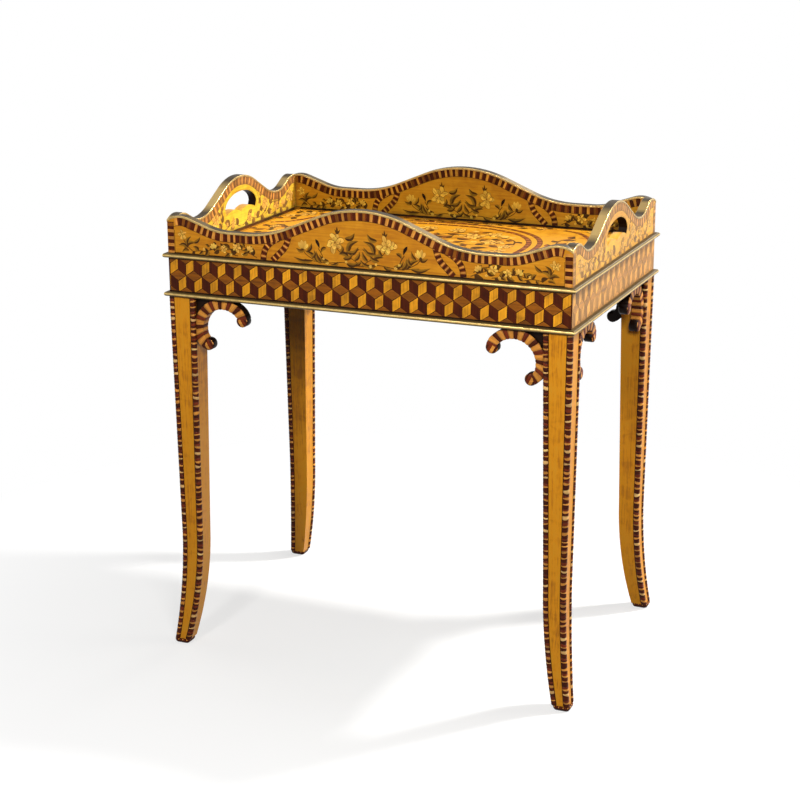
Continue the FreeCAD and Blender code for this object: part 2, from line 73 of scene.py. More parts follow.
LEFT, RIGHT = span("frieze_veneer_front", 0)
NEAR, FAR = span("frieze_veneer_right", 1)
LENGTH, DEPTH = RIGHT - LEFT, FAR - NEAR
FRIEZE_LOW, FRIEZE_HIGH = span("frieze_veneer_front", 2)
LEG_TOP = span("lower_bead_front", 2)[0]
GALLERY_FOOT = span("gallery_front", 2)[0]
TRAY_TOP = span("tray_floor", 2)[1]
BOARD = 14.0                # thickness of the gallery boards
KNEE = 190.0                # height where the legs turn into the sabre foot
ROOT = 0.05                 # how deep a laid piece reaches into the ground
STAGGER = 0.002             # between the faces of two pieces that may lie over each other
PILE = 40                   # pieces laid before their heights begin again
SHORTEST = 0.6              # what is left of a band and gets no piece of its own
STRING = 0.5                # width of the black stringing
STRING_GAP = 0.3            # from a band's edge to the middle of its stringing
INSIDE_SHADE = (0.66, 0.77, 0.5)     # painted shade on the insides of the long boards
END_INSIDE_LIGHT = (1.0, 1.35, 1.0)      # painted light, brighter and yellower, on the ground inside the ends


def srgb(levels):
    """Scene colour of an on-screen colour."""
    shares = [level / 255 for level in levels]
    return tuple(share / 12.92 if share <= 0.04045 else ((share + 0.055) / 1.055) ** 2.4
                 for share in shares)


def colour(name, description, *levels):
    """Colour property with an on-screen default."""
    return FloatVectorProperty(name=name, description=description, subtype="COLOR",
                               default=srgb(levels), min=0.0, max=1.0)


def length(name, description, millimetres):
    """Length property with its default in millimetres."""
    return FloatProperty(name=name, description=description, unit="LENGTH", subtype="DISTANCE",
                         default=millimetres * MM, min=0.0, precision=5)


class TeaTableSizes(bpy.types.PropertyGroup):
    """Sizes of the fine pieces."""
    block_pitch: length("Block pitch", "Width of one tumbling block along the frieze", 27.53)
    block_line: length("Block line", "Dark line round the light faces of the blocks", 1.1)
    joint: length("Joint", "Dark joint between two pieces of veneer", 0.22)
    crest_band: length("Crest band", "Width of the cross-banding under the brass", 11.5)
    ribbon: length("Ribbon", "Width of the crossed ribbons", 8.5)
    oval_ribbon: length("Oval ribbon", "Width of the ribbons round the tray's oval", 7.5)
    bead: length("Leg bead", "Diameter of the banded beads on the legs", 9.4)
    ring: length("Ring", "Usual height of one ring of a leg bead", 6.0)
    proud: length("Inlay relief", "How far the inlay stands above the ground veneer", 0.11)
    scroll_wedges: IntProperty(name="Scroll wedges", description="Wedges along a scroll",
                               default=19, min=8, max=40)
    dome: length("Scroll dome", "How far a scroll's front is rounded over", 2.2)


class TeaTableColours(bpy.types.PropertyGroup):
    """Colours of the woods, the brass and the stage."""
    satinwood: colour("Satinwood", "Ground of the long boards", 206, 134, 20)
    satin_deep: colour("Satinwood, deep", "Its darker figure", 184, 112, 14)
    satin_pale: colour("Satinwood, pale", "Its lighter figure", 222, 152, 34)
    leg_wood: colour("Leg satinwood", "Brighter ground of the legs", 226, 148, 22)
    # The end veneers are drawn towards this colour: partly paler veneer, partly painted sheen
    # and light of the brightly lit ends.
    bleached: colour("Bleached wood", "What the sun draws the end woods towards", 226, 170, 100)
    end_wood: colour("End satinwood", "Paler ground of the two end boards", 226, 164, 58)
    field: colour("Tray ground", "Ground of the tray's floor", 222, 156, 36)
    golden: colour("Golden veneer", "Light faces of the blocks", 222, 148, 26)
    brown: colour("Walnut", "Upper faces of the blocks", 138, 78, 14)
    rosewood: colour("Rosewood", "Dark faces of the blocks and dark banding", 74, 26, 4)
    redwood: colour("Red wood", "Reddish pieces of the banding", 112, 42, 12)
    tan: colour("Tan wood", "Light pieces of the banding", 220, 146, 60)
    pale: colour("Pale tan wood", "Lightest rings of the beads", 236, 184, 112)
    cream: colour("Cream wood", "Petals", 252, 190, 80)
    leaf: colour("Leaf wood", "Leaves and stems", 80, 48, 8)
    leaf_pale: colour("Pale leaf wood", "Light halves of the leaves", 152, 106, 26)
    black: colour("Black wood", "Darkest pieces and stringing", 26, 12, 6)
    brass: colour("Brass", "Polished brass", 230, 196, 122)
    tarnish: colour("Tarnish", "Brass that is seldom rubbed", 176, 140, 76)
    capping: colour("Capping", "Brass of the gallery's capping", 204, 172, 108)
    carcase: colour("Carcase wood", "Rails, braces and bearers", 150, 108, 66)
    dowel: colour("Dowel wood", "Dowels and keys", 186, 144, 96)
    steel: colour("Steel", "Screws", 128, 128, 132)
    floor: colour("Floor", "Studio floor", 250, 250, 250)


# ---- nodes
def feed(tree, socket, value):
    """Links a socket to another, or sets its value."""
    if isinstance(value, bpy.types.NodeSocket):
        tree.links.new(value, socket)
    elif value is not None:
        socket.default_value = value


def add(tree, kind, inputs=None, **settings):
    """New shader node with its settings and inputs."""
    node = tree.nodes.new("ShaderNode" + kind)
    for key, value in settings.items():
        setattr(node, key, value)
    for key, value in (inputs or {}).items():
        feed(tree, node.inputs[key], value)
    return node


def maths(tree, operation, first, second=None, third=None):
    """Result of a Math node."""
    return add(tree, "Math", {0: first, 1: second, 2: third}, operation=operation).outputs[0]


def product(tree, first, second):
    """Two values multiplied."""
    return maths(tree, "MULTIPLY", first, second)


def scaled(tree, vector, factors):
    """Vector stretched along its axes."""
    return add(tree, "VectorMath", {0: vector, 1: factors}, operation="MULTIPLY").outputs[0]


def dot(tree, first, second):
    """How far two directions agree."""
    return add(tree, "VectorMath", {0: first, 1: second},
               operation="DOT_PRODUCT").outputs["Value"]


def object_place(tree):
    """Place on the object."""
    return add(tree, "TexCoord").outputs["Object"]


def noise(tree, vector, factors, detail=2.0, distortion=0.0):
    """Value of a noise texture; factors are its grains to a metre along each axis."""
    inputs = {"Vector": scaled(tree, vector, factors), "Scale": 1.0, "Detail": detail,
              "Distortion": distortion}
    return add(tree, "TexNoise", inputs).outputs[0]


def ranged(tree, value, low, high, to_low=0.0, to_high=1.0):
    """Value carried from one range to another, and kept within it."""
    return add(tree, "MapRange", {0: value, 1: low, 2: high, 3: to_low, 4: to_high}).outputs[0]


def opaque(value):
    """Colour with its alpha; sockets stay as they are."""
    return value if isinstance(value, bpy.types.NodeSocket) else (*value, 1.0)


def mixed(tree, share, first, second, blend="MIX"):
    """Mix of two colours."""
    return add(tree, "Mix", {0: share, 6: opaque(first), 7: opaque(second)},
               data_type="RGBA", blend_type=blend).outputs[2]


def new_group(name, inputs, outputs):
    """Empty node group with its sockets, and its input and output nodes."""
    tree = bpy.data.node_groups.new(name, "ShaderNodeTree")
    for label, kind, *default in inputs:
        socket = tree.interface.new_socket(label, in_out="INPUT",
                                           socket_type="NodeSocket" + kind)
        if default:
            socket.default_value = default[0]
    for label, kind in outputs:
        tree.interface.new_socket(label, in_out="OUTPUT", socket_type="NodeSocket" + kind)
    given, out = (tree.nodes.new("NodeGroup" + way) for way in ("Input", "Output"))
    return tree, given.outputs, out.inputs


def wood_figure():
    """Streaks, fibres, mottle and pores of one wood along the first axis of Place."""
    tree, given, out = new_group(
        "Wood figure",
        [("Place", "Vector"), ("Colour", "Color"), ("Deep", "Color"), ("Pale", "Color"),
         ("Mottle", "Float", 0.3)],
        [("Colour", "Color"), ("Height", "Float"), ("Roughness", "Float")])
    streak, fibre, cloud, pore, broad = (
        noise(tree, given["Place"], (along, across, across), detail, distortion)
        for along, across, detail, distortion in (
            (12, 330, 3.0, 0.4), (80, 1900, 2.0, 0.0), (55, 42, 2.0, 0.8),
            (190, 2600, 1.0, 0.0), (5, 16, 1.0, 0.0)))
    blend = maths(tree, "MULTIPLY_ADD", streak, 0.45, product(tree, fibre, 0.25))
    drift = product(tree, maths(tree, "SUBTRACT", cloud, 0.5), given["Mottle"])
    for part in (product(tree, broad, 0.3), drift):
        blend = maths(tree, "ADD", blend, part)
    full = mixed(tree, ranged(tree, blend, 0.36, 0.5), given["Deep"], given["Colour"])
    full = mixed(tree, ranged(tree, blend, 0.5, 0.66), full, given["Pale"])
    pores = ranged(tree, pore, 0.62, 0.72)
    feed(tree, out["Colour"], mixed(tree, product(tree, pores, 0.35), full, given["Deep"]))
    feed(tree, out["Height"], maths(tree, "SUBTRACT", fibre, pores))
    feed(tree, out["Roughness"], ranged(tree, streak, 0.3, 0.7, 0.34, 0.5))
    return tree


def cut_veneer():
    """Tone of one piece, its darkened edge and its rubbed rim, from Mark; the darkened edge is
    sand-scorching in the marquetry and painted shade on the rings, wedges, eyes and toes.
    """
    tree, given, out = new_group(
        "Cut veneer", [("Colour", "Color"), ("Mark", "Vector")], [("Colour", "Color")])
    tone, scorch_and_shade, rim = add(tree, "SeparateXYZ", {0: given["Mark"]}).outputs
    toned = add(tree, "VectorMath",
                {0: given["Colour"], 3: ranged(tree, tone, 0.0, 1.0, 0.7, 1.22)},
                operation="SCALE").outputs[0]
    scorch_shade_colour = mixed(tree, 1.0, toned, (0.32, 0.2, 0.12), "MULTIPLY")
    shaded = mixed(tree, product(tree, scorch_and_shade, 0.85), toned, scorch_shade_colour)
    rubbed = mixed(tree, 1.0, shaded, (1.3, 1.3, 1.35), "MULTIPLY")
    feed(tree, out["Colour"], mixed(tree, product(tree, rim, 0.6), shaded, rubbed))
    return tree


def edge_wear():
    """Mask of rubbed arrises, broken up along their length."""
    tree, given, out = new_group(
        "Edge wear", [("Reach", "Float", 0.0012), ("Amount", "Float", 1.0)],
        [("Mask", "Float")])
    bevel = add(tree, "Bevel", {"Radius": given["Reach"]}, samples=4).outputs[0]
    edge = ranged(tree, dot(tree, bevel, add(tree, "NewGeometry").outputs["Normal"]), 0.98, 0.8)
    patches = ranged(tree, noise(tree, object_place(tree), (90, 90, 90), 4.0), 0.35, 0.65)
    feed(tree, out["Mask"], product(tree, product(tree, edge, patches), given["Amount"]))
    return tree


def dust_and_shade():
    """Mask of painted shade in corners and hollows, found by their occlusion, with dust and old
    polish gathered there.
    """
    tree, given, out = new_group(
        "Old polish", [("Distance", "Float", 0.006), ("Amount", "Float", 0.6)],
        [("Mask", "Float")])
    hollow = add(tree, "AmbientOcclusion", {"Distance": given["Distance"]}, samples=4)
    shut = ranged(tree, hollow.outputs["AO"], 0.85, 0.45)
    patches = ranged(tree, noise(tree, object_place(tree), (60, 60, 60), 3.0), 0.3, 0.7, 0.5)
    feed(tree, out["Mask"], product(tree, product(tree, shut, patches), given["Amount"]))
    return tree


GROUP_MAKERS = {"Wood figure": wood_figure, "Cut veneer": cut_veneer, "Edge wear": edge_wear,
                "Old polish": dust_and_shade}
GROUPS = {}


def grouped(tree, name, inputs):
    """Outputs of one of the shared node groups, placed in a material."""
    if name not in GROUPS:
        GROUPS[name] = GROUP_MAKERS[name]()
    return add(tree, "Group", inputs, node_tree=GROUPS[name]).outputs


# ---- materials
def varied(value, factor):
    """Colour made darker or lighter."""
    return tuple(min(1.0, part * factor) for part in value)


def faded(value, towards, share):
    """Colour drawn towards another."""
    return tuple(part + (aim - part) * share for part, aim in zip(value, towards))


def new_material(name):
    """Material with its tree and shader."""
    material = bpy.data.materials.new(name)
    material.use_nodes = True
    return material, material.node_tree, material.node_tree.nodes["Principled BSDF"]


def set_inputs(shader, **values):
    """Sets inputs that are the same all over; names have _ for a space."""
    for key, value in values.items():
        shader.inputs[key.replace("_", " ")].default_value = value


def worn_and_shaded(tree, shader, surface, wear, dust_shade, relief):
    """Feeds in a surface rubbed on its arrises and darkened in its hollows by painted shade and
    dust; gives that mask.

    wear is (reach, amount, colour), dust_shade (distance, colour) and relief (height,
    strength).
    """
    reach, amount, worn = wear
    rubbed = grouped(tree, "Edge wear", {"Reach": reach, "Amount": amount})["Mask"]
    surface = mixed(tree, rubbed, surface, worn)
    distance, dust_shade_colour = dust_shade
    # Darkening of the hollows by occlusion: painted shade, with dust.
    dust_shade_mask = grouped(tree, "Old polish", {"Distance": distance, "Amount": 0.8})["Mask"]
    feed(tree, shader.inputs["Base Color"], mixed(tree, dust_shade_mask, surface, dust_shade_colour))
    height, strength = relief
    bump = add(tree, "Bump", {"Strength": strength, "Distance": 0.0002, "Height": height})
    feed(tree, shader.inputs["Normal"], bump.outputs[0])
    return dust_shade_mask


def wood(name, plain, deep=None, pale=None, grain=None, mottle=0.3, gloss=0.5, inner=None):
    """Polished wood; grain is a world axis for solid pieces, or None for cut veneer.

    inner is a tint for the faces that look towards the middle of the table: painted shade
    inside the long boards, painted light inside the ends.
    """
    if name in bpy.data.materials:
        return bpy.data.materials[name]
    material, tree, shader = new_material(name)
    if grain is None:
        place, mark = (add(tree, "Attribute", attribute_name=label).outputs["Vector"]
                       for label in ("grain", "mark"))
    else:
        parts = add(tree, "SeparateXYZ", {0: object_place(tree)}).outputs
        order = {index: parts[(grain + index) % 3] for index in range(3)}
        place = add(tree, "CombineXYZ", order).outputs[0]
    figure = grouped(tree, "Wood figure", {
        "Place": place, "Colour": opaque(plain), "Deep": opaque(deep or varied(plain, 0.55)),
        "Pale": opaque(pale or varied(plain, 1.45)), "Mottle": mottle})
    surface = figure["Colour"]
    if grain is None:
        surface = grouped(tree, "Cut veneer", {"Colour": surface, "Mark": mark})["Colour"]
    if inner:
        spot = add(tree, "NewGeometry").outputs
        painted_inside_mask = ranged(tree, dot(tree, spot["Position"], spot["Normal"]), -0.02, -0.1)
        surface = mixed(tree, painted_inside_mask, surface, inner, "MULTIPLY")
    # The near-black colour of the hollows is painted shade, with dust.
    dust_shade_mask = worn_and_shaded(tree, shader, surface, (0.0012, 0.25, varied(plain, 1.7)),
                 (0.009, (0.012, 0.005, 0.002)), (figure["Height"], 0.15))
    feed(tree, shader.inputs["Roughness"],
         maths(tree, "MULTIPLY_ADD", dust_shade_mask, 0.3, figure["Roughness"]))
    set_inputs(shader, Specular_IOR_Level=gloss * 0.45, Coat_Weight=gloss * 0.12,
               Coat_Roughness=0.14)
    return material


def metal(name, bright, dull, roughness, slope_highlight):
    """Aged metal with painted light by facing: upward slopes painted in the bright colour times
    slope_highlight, flat tops and undersides painted dark, and hollows darkened by painted
    shade with patina.
    """
    if name in bpy.data.materials:
        return bpy.data.materials[name]
    material, tree, shader = new_material(name)
    place = object_place(tree)
    patches = noise(tree, place, (110, 110, 110), 4.0, 0.6)
    grains = noise(tree, place, (880, 880, 880), 3.0)
    blend = maths(tree, "MULTIPLY_ADD", grains, 0.35, product(tree, patches, 0.65))
    # Painted light and reflection by facing: upper slopes, flat tops and undersides each get a
    # painted colour.
    normal = add(tree, "NewGeometry").outputs["Normal"]
    facing = add(tree, "SeparateXYZ", {0: normal}).outputs[2]
    upper, level, under = (ranged(tree, facing, low, high) for low, high in (
        (0.2, 0.6), (0.84, 0.96), (-0.05, -0.4)))
    surface = mixed(tree, ranged(tree, blend, 0.3, 0.56), dull, bright)
    for share, painted_coat in ((upper, varied(bright, slope_highlight)), (level, varied(dull, 0.15)),
                        (product(tree, under, 0.9), varied(dull, 0.12))):
        surface = mixed(tree, share, surface, painted_coat)
    # The hollows darken by painted shade together with patina.
    dust_shade_mask = worn_and_shaded(tree, shader, surface, (0.0009, 0.8, varied(bright, 1.25)),
                 (0.004, varied(dull, 0.25)), (grains, 0.12))
    feed(tree, shader.inputs["Roughness"],
         maths(tree, "MULTIPLY_ADD", level, 0.25,
               ranged(tree, blend, 0.35, 0.65, roughness + 0.14, roughness)))
    # Metallic rises on the upper slopes and falls on flat tops and in the hollows: painted
    # reflection.
    painted_gleam = maths(tree, "MULTIPLY_ADD", upper, 0.55, 0.37)
    for share, loss in ((level, 0.85), (dust_shade_mask, 0.3)):
        painted_gleam = maths(tree, "SUBTRACT", painted_gleam, product(tree, share, loss))
    feed(tree, shader.inputs["Metallic"], painted_gleam)
    set_inputs(shader, Specular_IOR_Level=0.2)
    return material


# Veneer woods in slot order, with the strength of their mottle and their gloss.
VENEERS = (("satinwood", 0.3, 0.5), ("golden", 0.35, 0.5), ("brown", 0.25, 0.35),
           ("rosewood", 0.3, 0.22), ("redwood", 0.3, 0.3), ("tan", 0.25, 0.4),
           ("pale", 0.25, 0.5), ("cream", 0.15, 0.4), ("leaf", 0.2, 0.25),
           ("leaf_pale", 0.2, 0.3), ("black", 0.1, 0.15))


def palette(colours, prefix="veneer_", bleach_sheen_share=0.0, tint=(1.0, 1.0, 1.0)):
    """Veneer woods by short name, in slot order; prefix names the set. bleach_sheen_share draws
    them towards the pale end colour: paler veneer with painted sheen. tint multiplies them:
    painted shade inside the long boards.
    """
    woods = []
    for name, mottle, gloss in VENEERS:
        plain = [part * share for part, share in zip(getattr(colours, name), tint)]
        woods.append((name, wood(prefix + name, faded(plain, colours.bleached, bleach_sheen_share),
                                 mottle=mottle, gloss=gloss)))
    return woods


def side_palette(colours, quarters, inner=False):
    """Woods of one side: at the ends drawn towards the pale end colour, as paler veneer with
    painted sheen outside and painted light inside; darkened by painted shade inside the long
    boards.
    """
    if quarters % 2:
        return palette(colours, *(("sunned_", 0.3) if inner else ("bleached_", 0.46)))
    return palette(colours, "inside_", 0.0, INSIDE_SHADE) if inner else palette(colours)


# ---- drawing in the flat
def linked(name, data):
    """Object for some data, linked into the scene."""
    holder = bpy.data.objects.new(name, data)
    bpy.context.scene.collection.objects.link(holder)
    return holder


def left_of(way):
    """Direction a quarter turn to the left."""
    return Vector((-way.y, way.x))


def heading(angle):
    """Direction of an angle."""
    return Vector((math.cos(angle), math.sin(angle)))


def smooth(points, steps=6):
    """Curve through points, by Catmull and Rom's rule."""
    points = [Vector(point) for point in points]
    if len(points) < 3:
        return points
    ends = [2 * points[0] - points[1], *points, 2 * points[-1] - points[-2]]
    curve = []
    for before, start, end, after in zip(ends, ends[1:], ends[2:], ends[3:]):
        for step in range(steps):
            t = step / steps
            curve.append(0.5 * (2 * start + (end - before) * t
                                + (2 * before - 5 * start + 4 * end - after) * t * t
                                + (3 * start - before - 3 * end + after) * t ** 3))
    return curve + [points[-1]]


class Path:
    """Line that can be walked by its length."""

    def __init__(self, points):
        self.points = [Vector(point) for point in points]
        self.marks = [0.0]
        for first, second in zip(self.points, self.points[1:]):
            self.marks.append(self.marks[-1] + (second - first).length)
        self.length = self.marks[-1]

    def at(self, distance):
        """Point and direction after a distance."""
        distance = min(max(distance, 0.0), self.length)
        index = bisect.bisect_left(self.marks, distance, 1, len(self.marks) - 1) - 1
        first, second = self.points[index:index + 2]
        way = (second - first).normalized()
        return first + way * (distance - self.marks[index]), way

    def shifted(self, offset):
        """Line beside this one, to its left for a positive offset."""
        moved = []
        for distance in self.marks:
            way = (self.at(distance - 0.01)[1] + self.at(distance + 0.01)[1]).normalized()
            moved.append(self.at(distance)[0] + left_of(way) * offset)
        return Path(moved)


def tube_faces(rings, size):
    """Faces of a closed tube: its two ends, then its sides ring by ring."""
    faces = [tuple(range(size - 1, -1, -1)), tuple(range((rings - 1) * size, rings * size))]
    for start in range(0, (rings - 1) * size, size):
        for k in range(size):
            after = (k + 1) % size
            faces.append((start + k, start + after, start + size + after, start + size + k))
    return faces


def slab_faces(rows, columns):
    """Faces between two like grids of points: upper and lower ones by turns, then the edge."""
    count, faces = rows * columns, []
    for corner in (i * columns + j for i in range(rows - 1) for j in range(columns - 1)):
        face = (corner, corner + 1, corner + columns + 1, corner + columns)
        faces += [face, tuple(count + k for k in reversed(face))]
    edge = [*range(columns), *(i * columns + columns - 1 for i in range(1, rows)),
            *((rows - 1) * columns + j for j in range(columns - 2, -1, -1)),
            *(i * columns for i in range(rows - 2, 0, -1))]
    return faces + [(a, a + count, b + count, b) for a, b in zip(edge, edge[1:] + edge[:1])]


class Veneers:
    """Closed pieces of veneer gathered into one object, drawn in a plane."""

    def __init__(self, place, woods, seed, sizes):
        self.place = place
        self.woods = woods
        self.index = {name: number for number, (name, _) in enumerate(woods)}
        self.random = random.Random(seed)
        self.rise, self.joint = sizes.proud / MM, sizes.joint / MM
        self.points, self.grain, self.mark = [], [], []
        self.faces, self.slots = [], []
        self.laid = 0

    def point(self, spot, grain, mark):
        """One point in metres, its place in the grain, and its (tone, shade, rim)."""
        self.points.append(spot)
        self.grain.append(grain)
        self.mark.append(mark)

    def vertex(self, u, w, height, turn, seed, mark):
        """One drawn point with its place along and across the grain."""
        along = (u * math.cos(turn) + w * math.sin(turn)) * MM
        across = (w * math.cos(turn) - u * math.sin(turn)) * MM
        self.point(self.place(u, w, height), (along + seed, across + seed, seed), mark)

    def close(self, start, faces, woods):
        """Adds faces between the points laid since start, in one wood or one for each face."""
        self.faces += [tuple(start + k for k in face) for face in faces]
        names = [woods] * len(faces) if isinstance(woods, str) else woods
        self.slots += [self.index[name] for name in names]

    def rhythm(self, pieces, extra=None, scale=1.0):
        """Gives (wood, length) pieces in turn.

        pieces are (wood or woods to choose from, least, most); extra is (chance, place, piece).
        """
        order = []

        def drawn(woods, least, most):
            name = woods if isinstance(woods, str) else self.random.choice(woods)
            return name, scale * self.random.uniform(least, most)

        def turn():
            if not order:
                order.extend([drawn(*piece) for piece in pieces])
                if extra and self.random.random() < extra[0]:
                    order.insert(extra[1], drawn(*extra[2]))
            return order.pop(0)
        return turn

    def sheet(self, grid, wood_name, rise, turn=0.0, tone=None):
        """Piece from rows of (u, w, shade) or (u, w, shade, rim)."""
        start, seed = len(self.points), self.random.random() * 9
        tone = self.random.uniform(0.3, 0.8) if tone is None else tone
        self.laid = (self.laid + 1) % PILE
        for height in (rise + self.laid * STAGGER, -ROOT):
            for u, w, shade, *rim in (spot for row in grid for spot in row):
                self.vertex(u, w, height, turn, seed, (tone, shade, rim[0] if rim else 0.0))
        self.close(start, slab_faces(len(grid), len(grid[0])), wood_name)

    def tile(self, outline, wood_name, rim, turn=0.0):
        """Convex piece with its rim marked, from its corners in order."""
        centre = sum(outline, Vector((0, 0))) / len(outline)
        reach = min((point - centre).length for point in outline)
        share = max(0.3, 1 - rim / max(reach, 0.1))
        start, seed = len(self.points), self.random.random() * 9
        tone = self.random.uniform(0.25, 0.75)
        for scale, level, edge in ((1, -2 * ROOT, 1), (1, 0.0, 1), (share, 0.0, 0)):
            for point in outline:
                spot = centre + (point - centre) * scale
                self.vertex(*spot, level, turn, seed, (tone, 0.0, edge))
        self.close(start, tube_faces(3, len(outline)), wood_name)

    def blade(self, spine, widths, wood_name, rise, shades=(0, 0), steps=9, tone=None,
              other=None):
        """Petal or leaf along a spine; other is the wood of its left half."""
        path = Path(smooth(spine))
        lefts, rights = [], []
        for step in range(steps + 1):
            t = step / steps
            point, way = path.at(t * path.length)
            side = left_of(way) * max(0.06, widths(t))
            shade = shades[0] + (shades[1] - shades[0]) * t
            lefts.append([(*(point + side), shade * 0.6), (*point, shade)])
            rights.append([(*point, shade), (*(point - side), shade * 0.6)])
        way = path.at(path.length / 2)[1]
        turn = math.atan2(way.y, way.x)
        tone = self.random.uniform(0.3, 0.8) if tone is None else tone
        if other:
            self.sheet(lefts, other, rise, turn, tone)
        else:
            rights = [left[:1] + right for left, right in zip(lefts, rights)]
        self.sheet(rights, wood_name, rise, turn, tone)

    def strip(self, points, width, wood_name="black", share=0.9):
        """Even line along points, raised by a share of the relief."""
        path = Path(points)
        rows = []
        for point, way in map(path.at, path.marks):
            side = left_of(way) * width / 2
            rows.append([(*(point - side), 0.0), (*(point + side), 0.0)])
        self.sheet(rows, wood_name, self.rise * share, 0.0, 0.5)

    def banding(self, path, width, turns, lift=0.0, margin=0.0):
        """Cross-banding along a path, less a margin at each end."""
        rhythm = self.rhythm(*turns)
        begin, end = margin, path.length - margin
        while begin < end - SHORTEST:
            name, size = rhythm()
            stop = min(begin + size, end)
            steps = max(1, round((stop - begin) / 3))
            rows = []
            for step in range(steps + 1):
                spot = begin + self.joint / 2 + (stop - begin - self.joint) * step / steps
                point, way = path.at(spot)
                side = left_of(way) * width / 2
                rim = 0.3 if step in (0, steps) else 0.0
                rows.append([(*(point - side), 0.25), (*point, 0.0, rim),
                             (*(point + side), 0.25)])
            way = path.at((begin + stop) / 2)[1]
            self.sheet(rows, name, self.rise + lift, math.atan2(way.y, way.x) + math.pi / 2)
            begin = stop

    def strung(self, path, width, turns, share=0.9):
        """Cross-banding with a line of black stringing along each side."""
        self.banding(path, width, turns)
        for side in (-1, 1):
            beside = path.shifted(side * (width / 2 + STRING_GAP))
            self.strip(beside.points, STRING, share=share)

    def finish(self, name, body, smooth_degrees=None, replaced=None):
        """The object made from the pieces."""
        mesh = bpy.data.meshes.new(name)
        mesh.from_pydata(self.points, [], self.faces)
        for label, values in (("grain", self.grain), ("mark", self.mark)):
            layer = mesh.attributes.new(label, "FLOAT_VECTOR", "POINT")
            layer.data.foreach_set("vector", [part for value in values for part in value])
        for _, material in self.woods:
            mesh.materials.append(material)
        mesh.polygons.foreach_set("material_index", self.slots)
        work = bmesh.new()
        work.from_mesh(mesh)
        bmesh.ops.recalc_face_normals(work, faces=work.faces)
        work.to_mesh(mesh)
        work.free()
        if smooth_degrees is not None:
            mesh.shade_smooth()
            mesh.set_sharp_from_angle(angle=math.radians(smooth_degrees))
        mesh.update()
        piece = linked(name, mesh)
        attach(piece, body)
        if replaced:
            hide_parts(replaced)


# Turns of banding: their pieces, and one that comes in now and then.
LEG_RINGS = ((("rosewood", 0.6, 1.3), ("tan", 0.35, 0.6), ("redwood", 0.4, 0.9),
              ("rosewood", 0.5, 1.1), (("tan", "pale"), 0.4, 0.9)),
             (0.3, 2, ("rosewood", 0.3, 0.6)))
CREST = (((("tan", "tan", "tan", "brown"), 3.4, 5.2), ("rosewood", 4.8, 7.0)),
         (0.4, 1, ("redwood", 1.4, 2.6)))
RIBBON = ((("rosewood", 3.2, 4.2), ("redwood", 0.9, 1.3), ("tan", 2.2, 3.0),
           ("redwood", 0.9, 1.3)),)
FLOOR_RIBBON = ((("redwood", 5, 9), ("brown", 2, 4), ("redwood", 4, 8), ("tan", 1.5, 3)),)
# The tray's border banding is mostly black; its darkness also paints the shadow along the foot
# of the gallery.
FLOOR_BORDER = (((("black", "black", "rosewood"), 14, 30),),)


def turned(quarters, x, y):
    """Point drawn for the front side, turned to its own side."""
    for _ in range(quarters):
        x, y = -y, x
    return x, y


def around(quarters, x, y, z):
    """Point drawn for the front side, turned to its own side, in metres."""
    return Vector((*turned(quarters, x, y), z)) * MM


def side_sizes(quarters):
    """A side's length and its distance to the opposite side."""
    return (DEPTH, LENGTH) if quarters % 2 else (LENGTH, DEPTH)


def outer_face(quarters, foot=GALLERY_FOOT):
    """Place on the outside of a side, heights above its foot."""
    face = side_sizes(quarters)[1]
    return lambda u, w, h: around(quarters, u, -face / 2 - h, foot + w)


def inner_face(quarters):
    """Place on the inside of a gallery board, drawn as seen from inside."""
    face = side_sizes(quarters)[1]
    return lambda u, w, h: around(quarters, -u, -face / 2 + BOARD + h, GALLERY_FOOT + w)


# ---- frieze
FRIEZE_BORDER = 1.6         # width of the dark border round the blocks
BLOCK_RIM = 2.2             # rubbed rims of the blocks and of the border
BORDER_RIM = 0.4
EDGE_GAP = 0.02             # keeps faces from lying in one plane


def rectangle(low_u, low_w, high_u, high_w):
    """Corners of a rectangle in order."""
    return [Vector(point) for point in ((low_u, low_w), (high_u, low_w), (high_u, high_w),
                                        (low_u, high_w))]


def clipped(outline, low, high):
    """Convex outline cut down to a rectangle."""
    for axis, sign, limit in ((0, 1, low[0]), (0, -1, -high[0]), (1, 1, low[1]),
                              (1, -1, -high[1])):
        kept = []
        for a, b in zip(outline, outline[1:] + outline[:1]):
            inside_a, inside_b = sign * a[axis] - limit, sign * b[axis] - limit
            if inside_a >= 0:
                kept.append(a)
            if inside_a * inside_b < 0:
                kept.append(a + (b - a) * inside_a / (inside_a - inside_b))
        outline = kept
        if len(outline) < 3:
            return []
    return outline


def shrunk(outline, joint):
    """Outline drawn in towards its middle by a joint, less where it is small."""
    centre = sum(outline, Vector((0, 0))) / len(outline)
    ways = [point - centre for point in outline]
    return [point - way.normalized() * min(joint * 0.7, way.length * 0.3)
            for point, way in zip(outline, ways)]


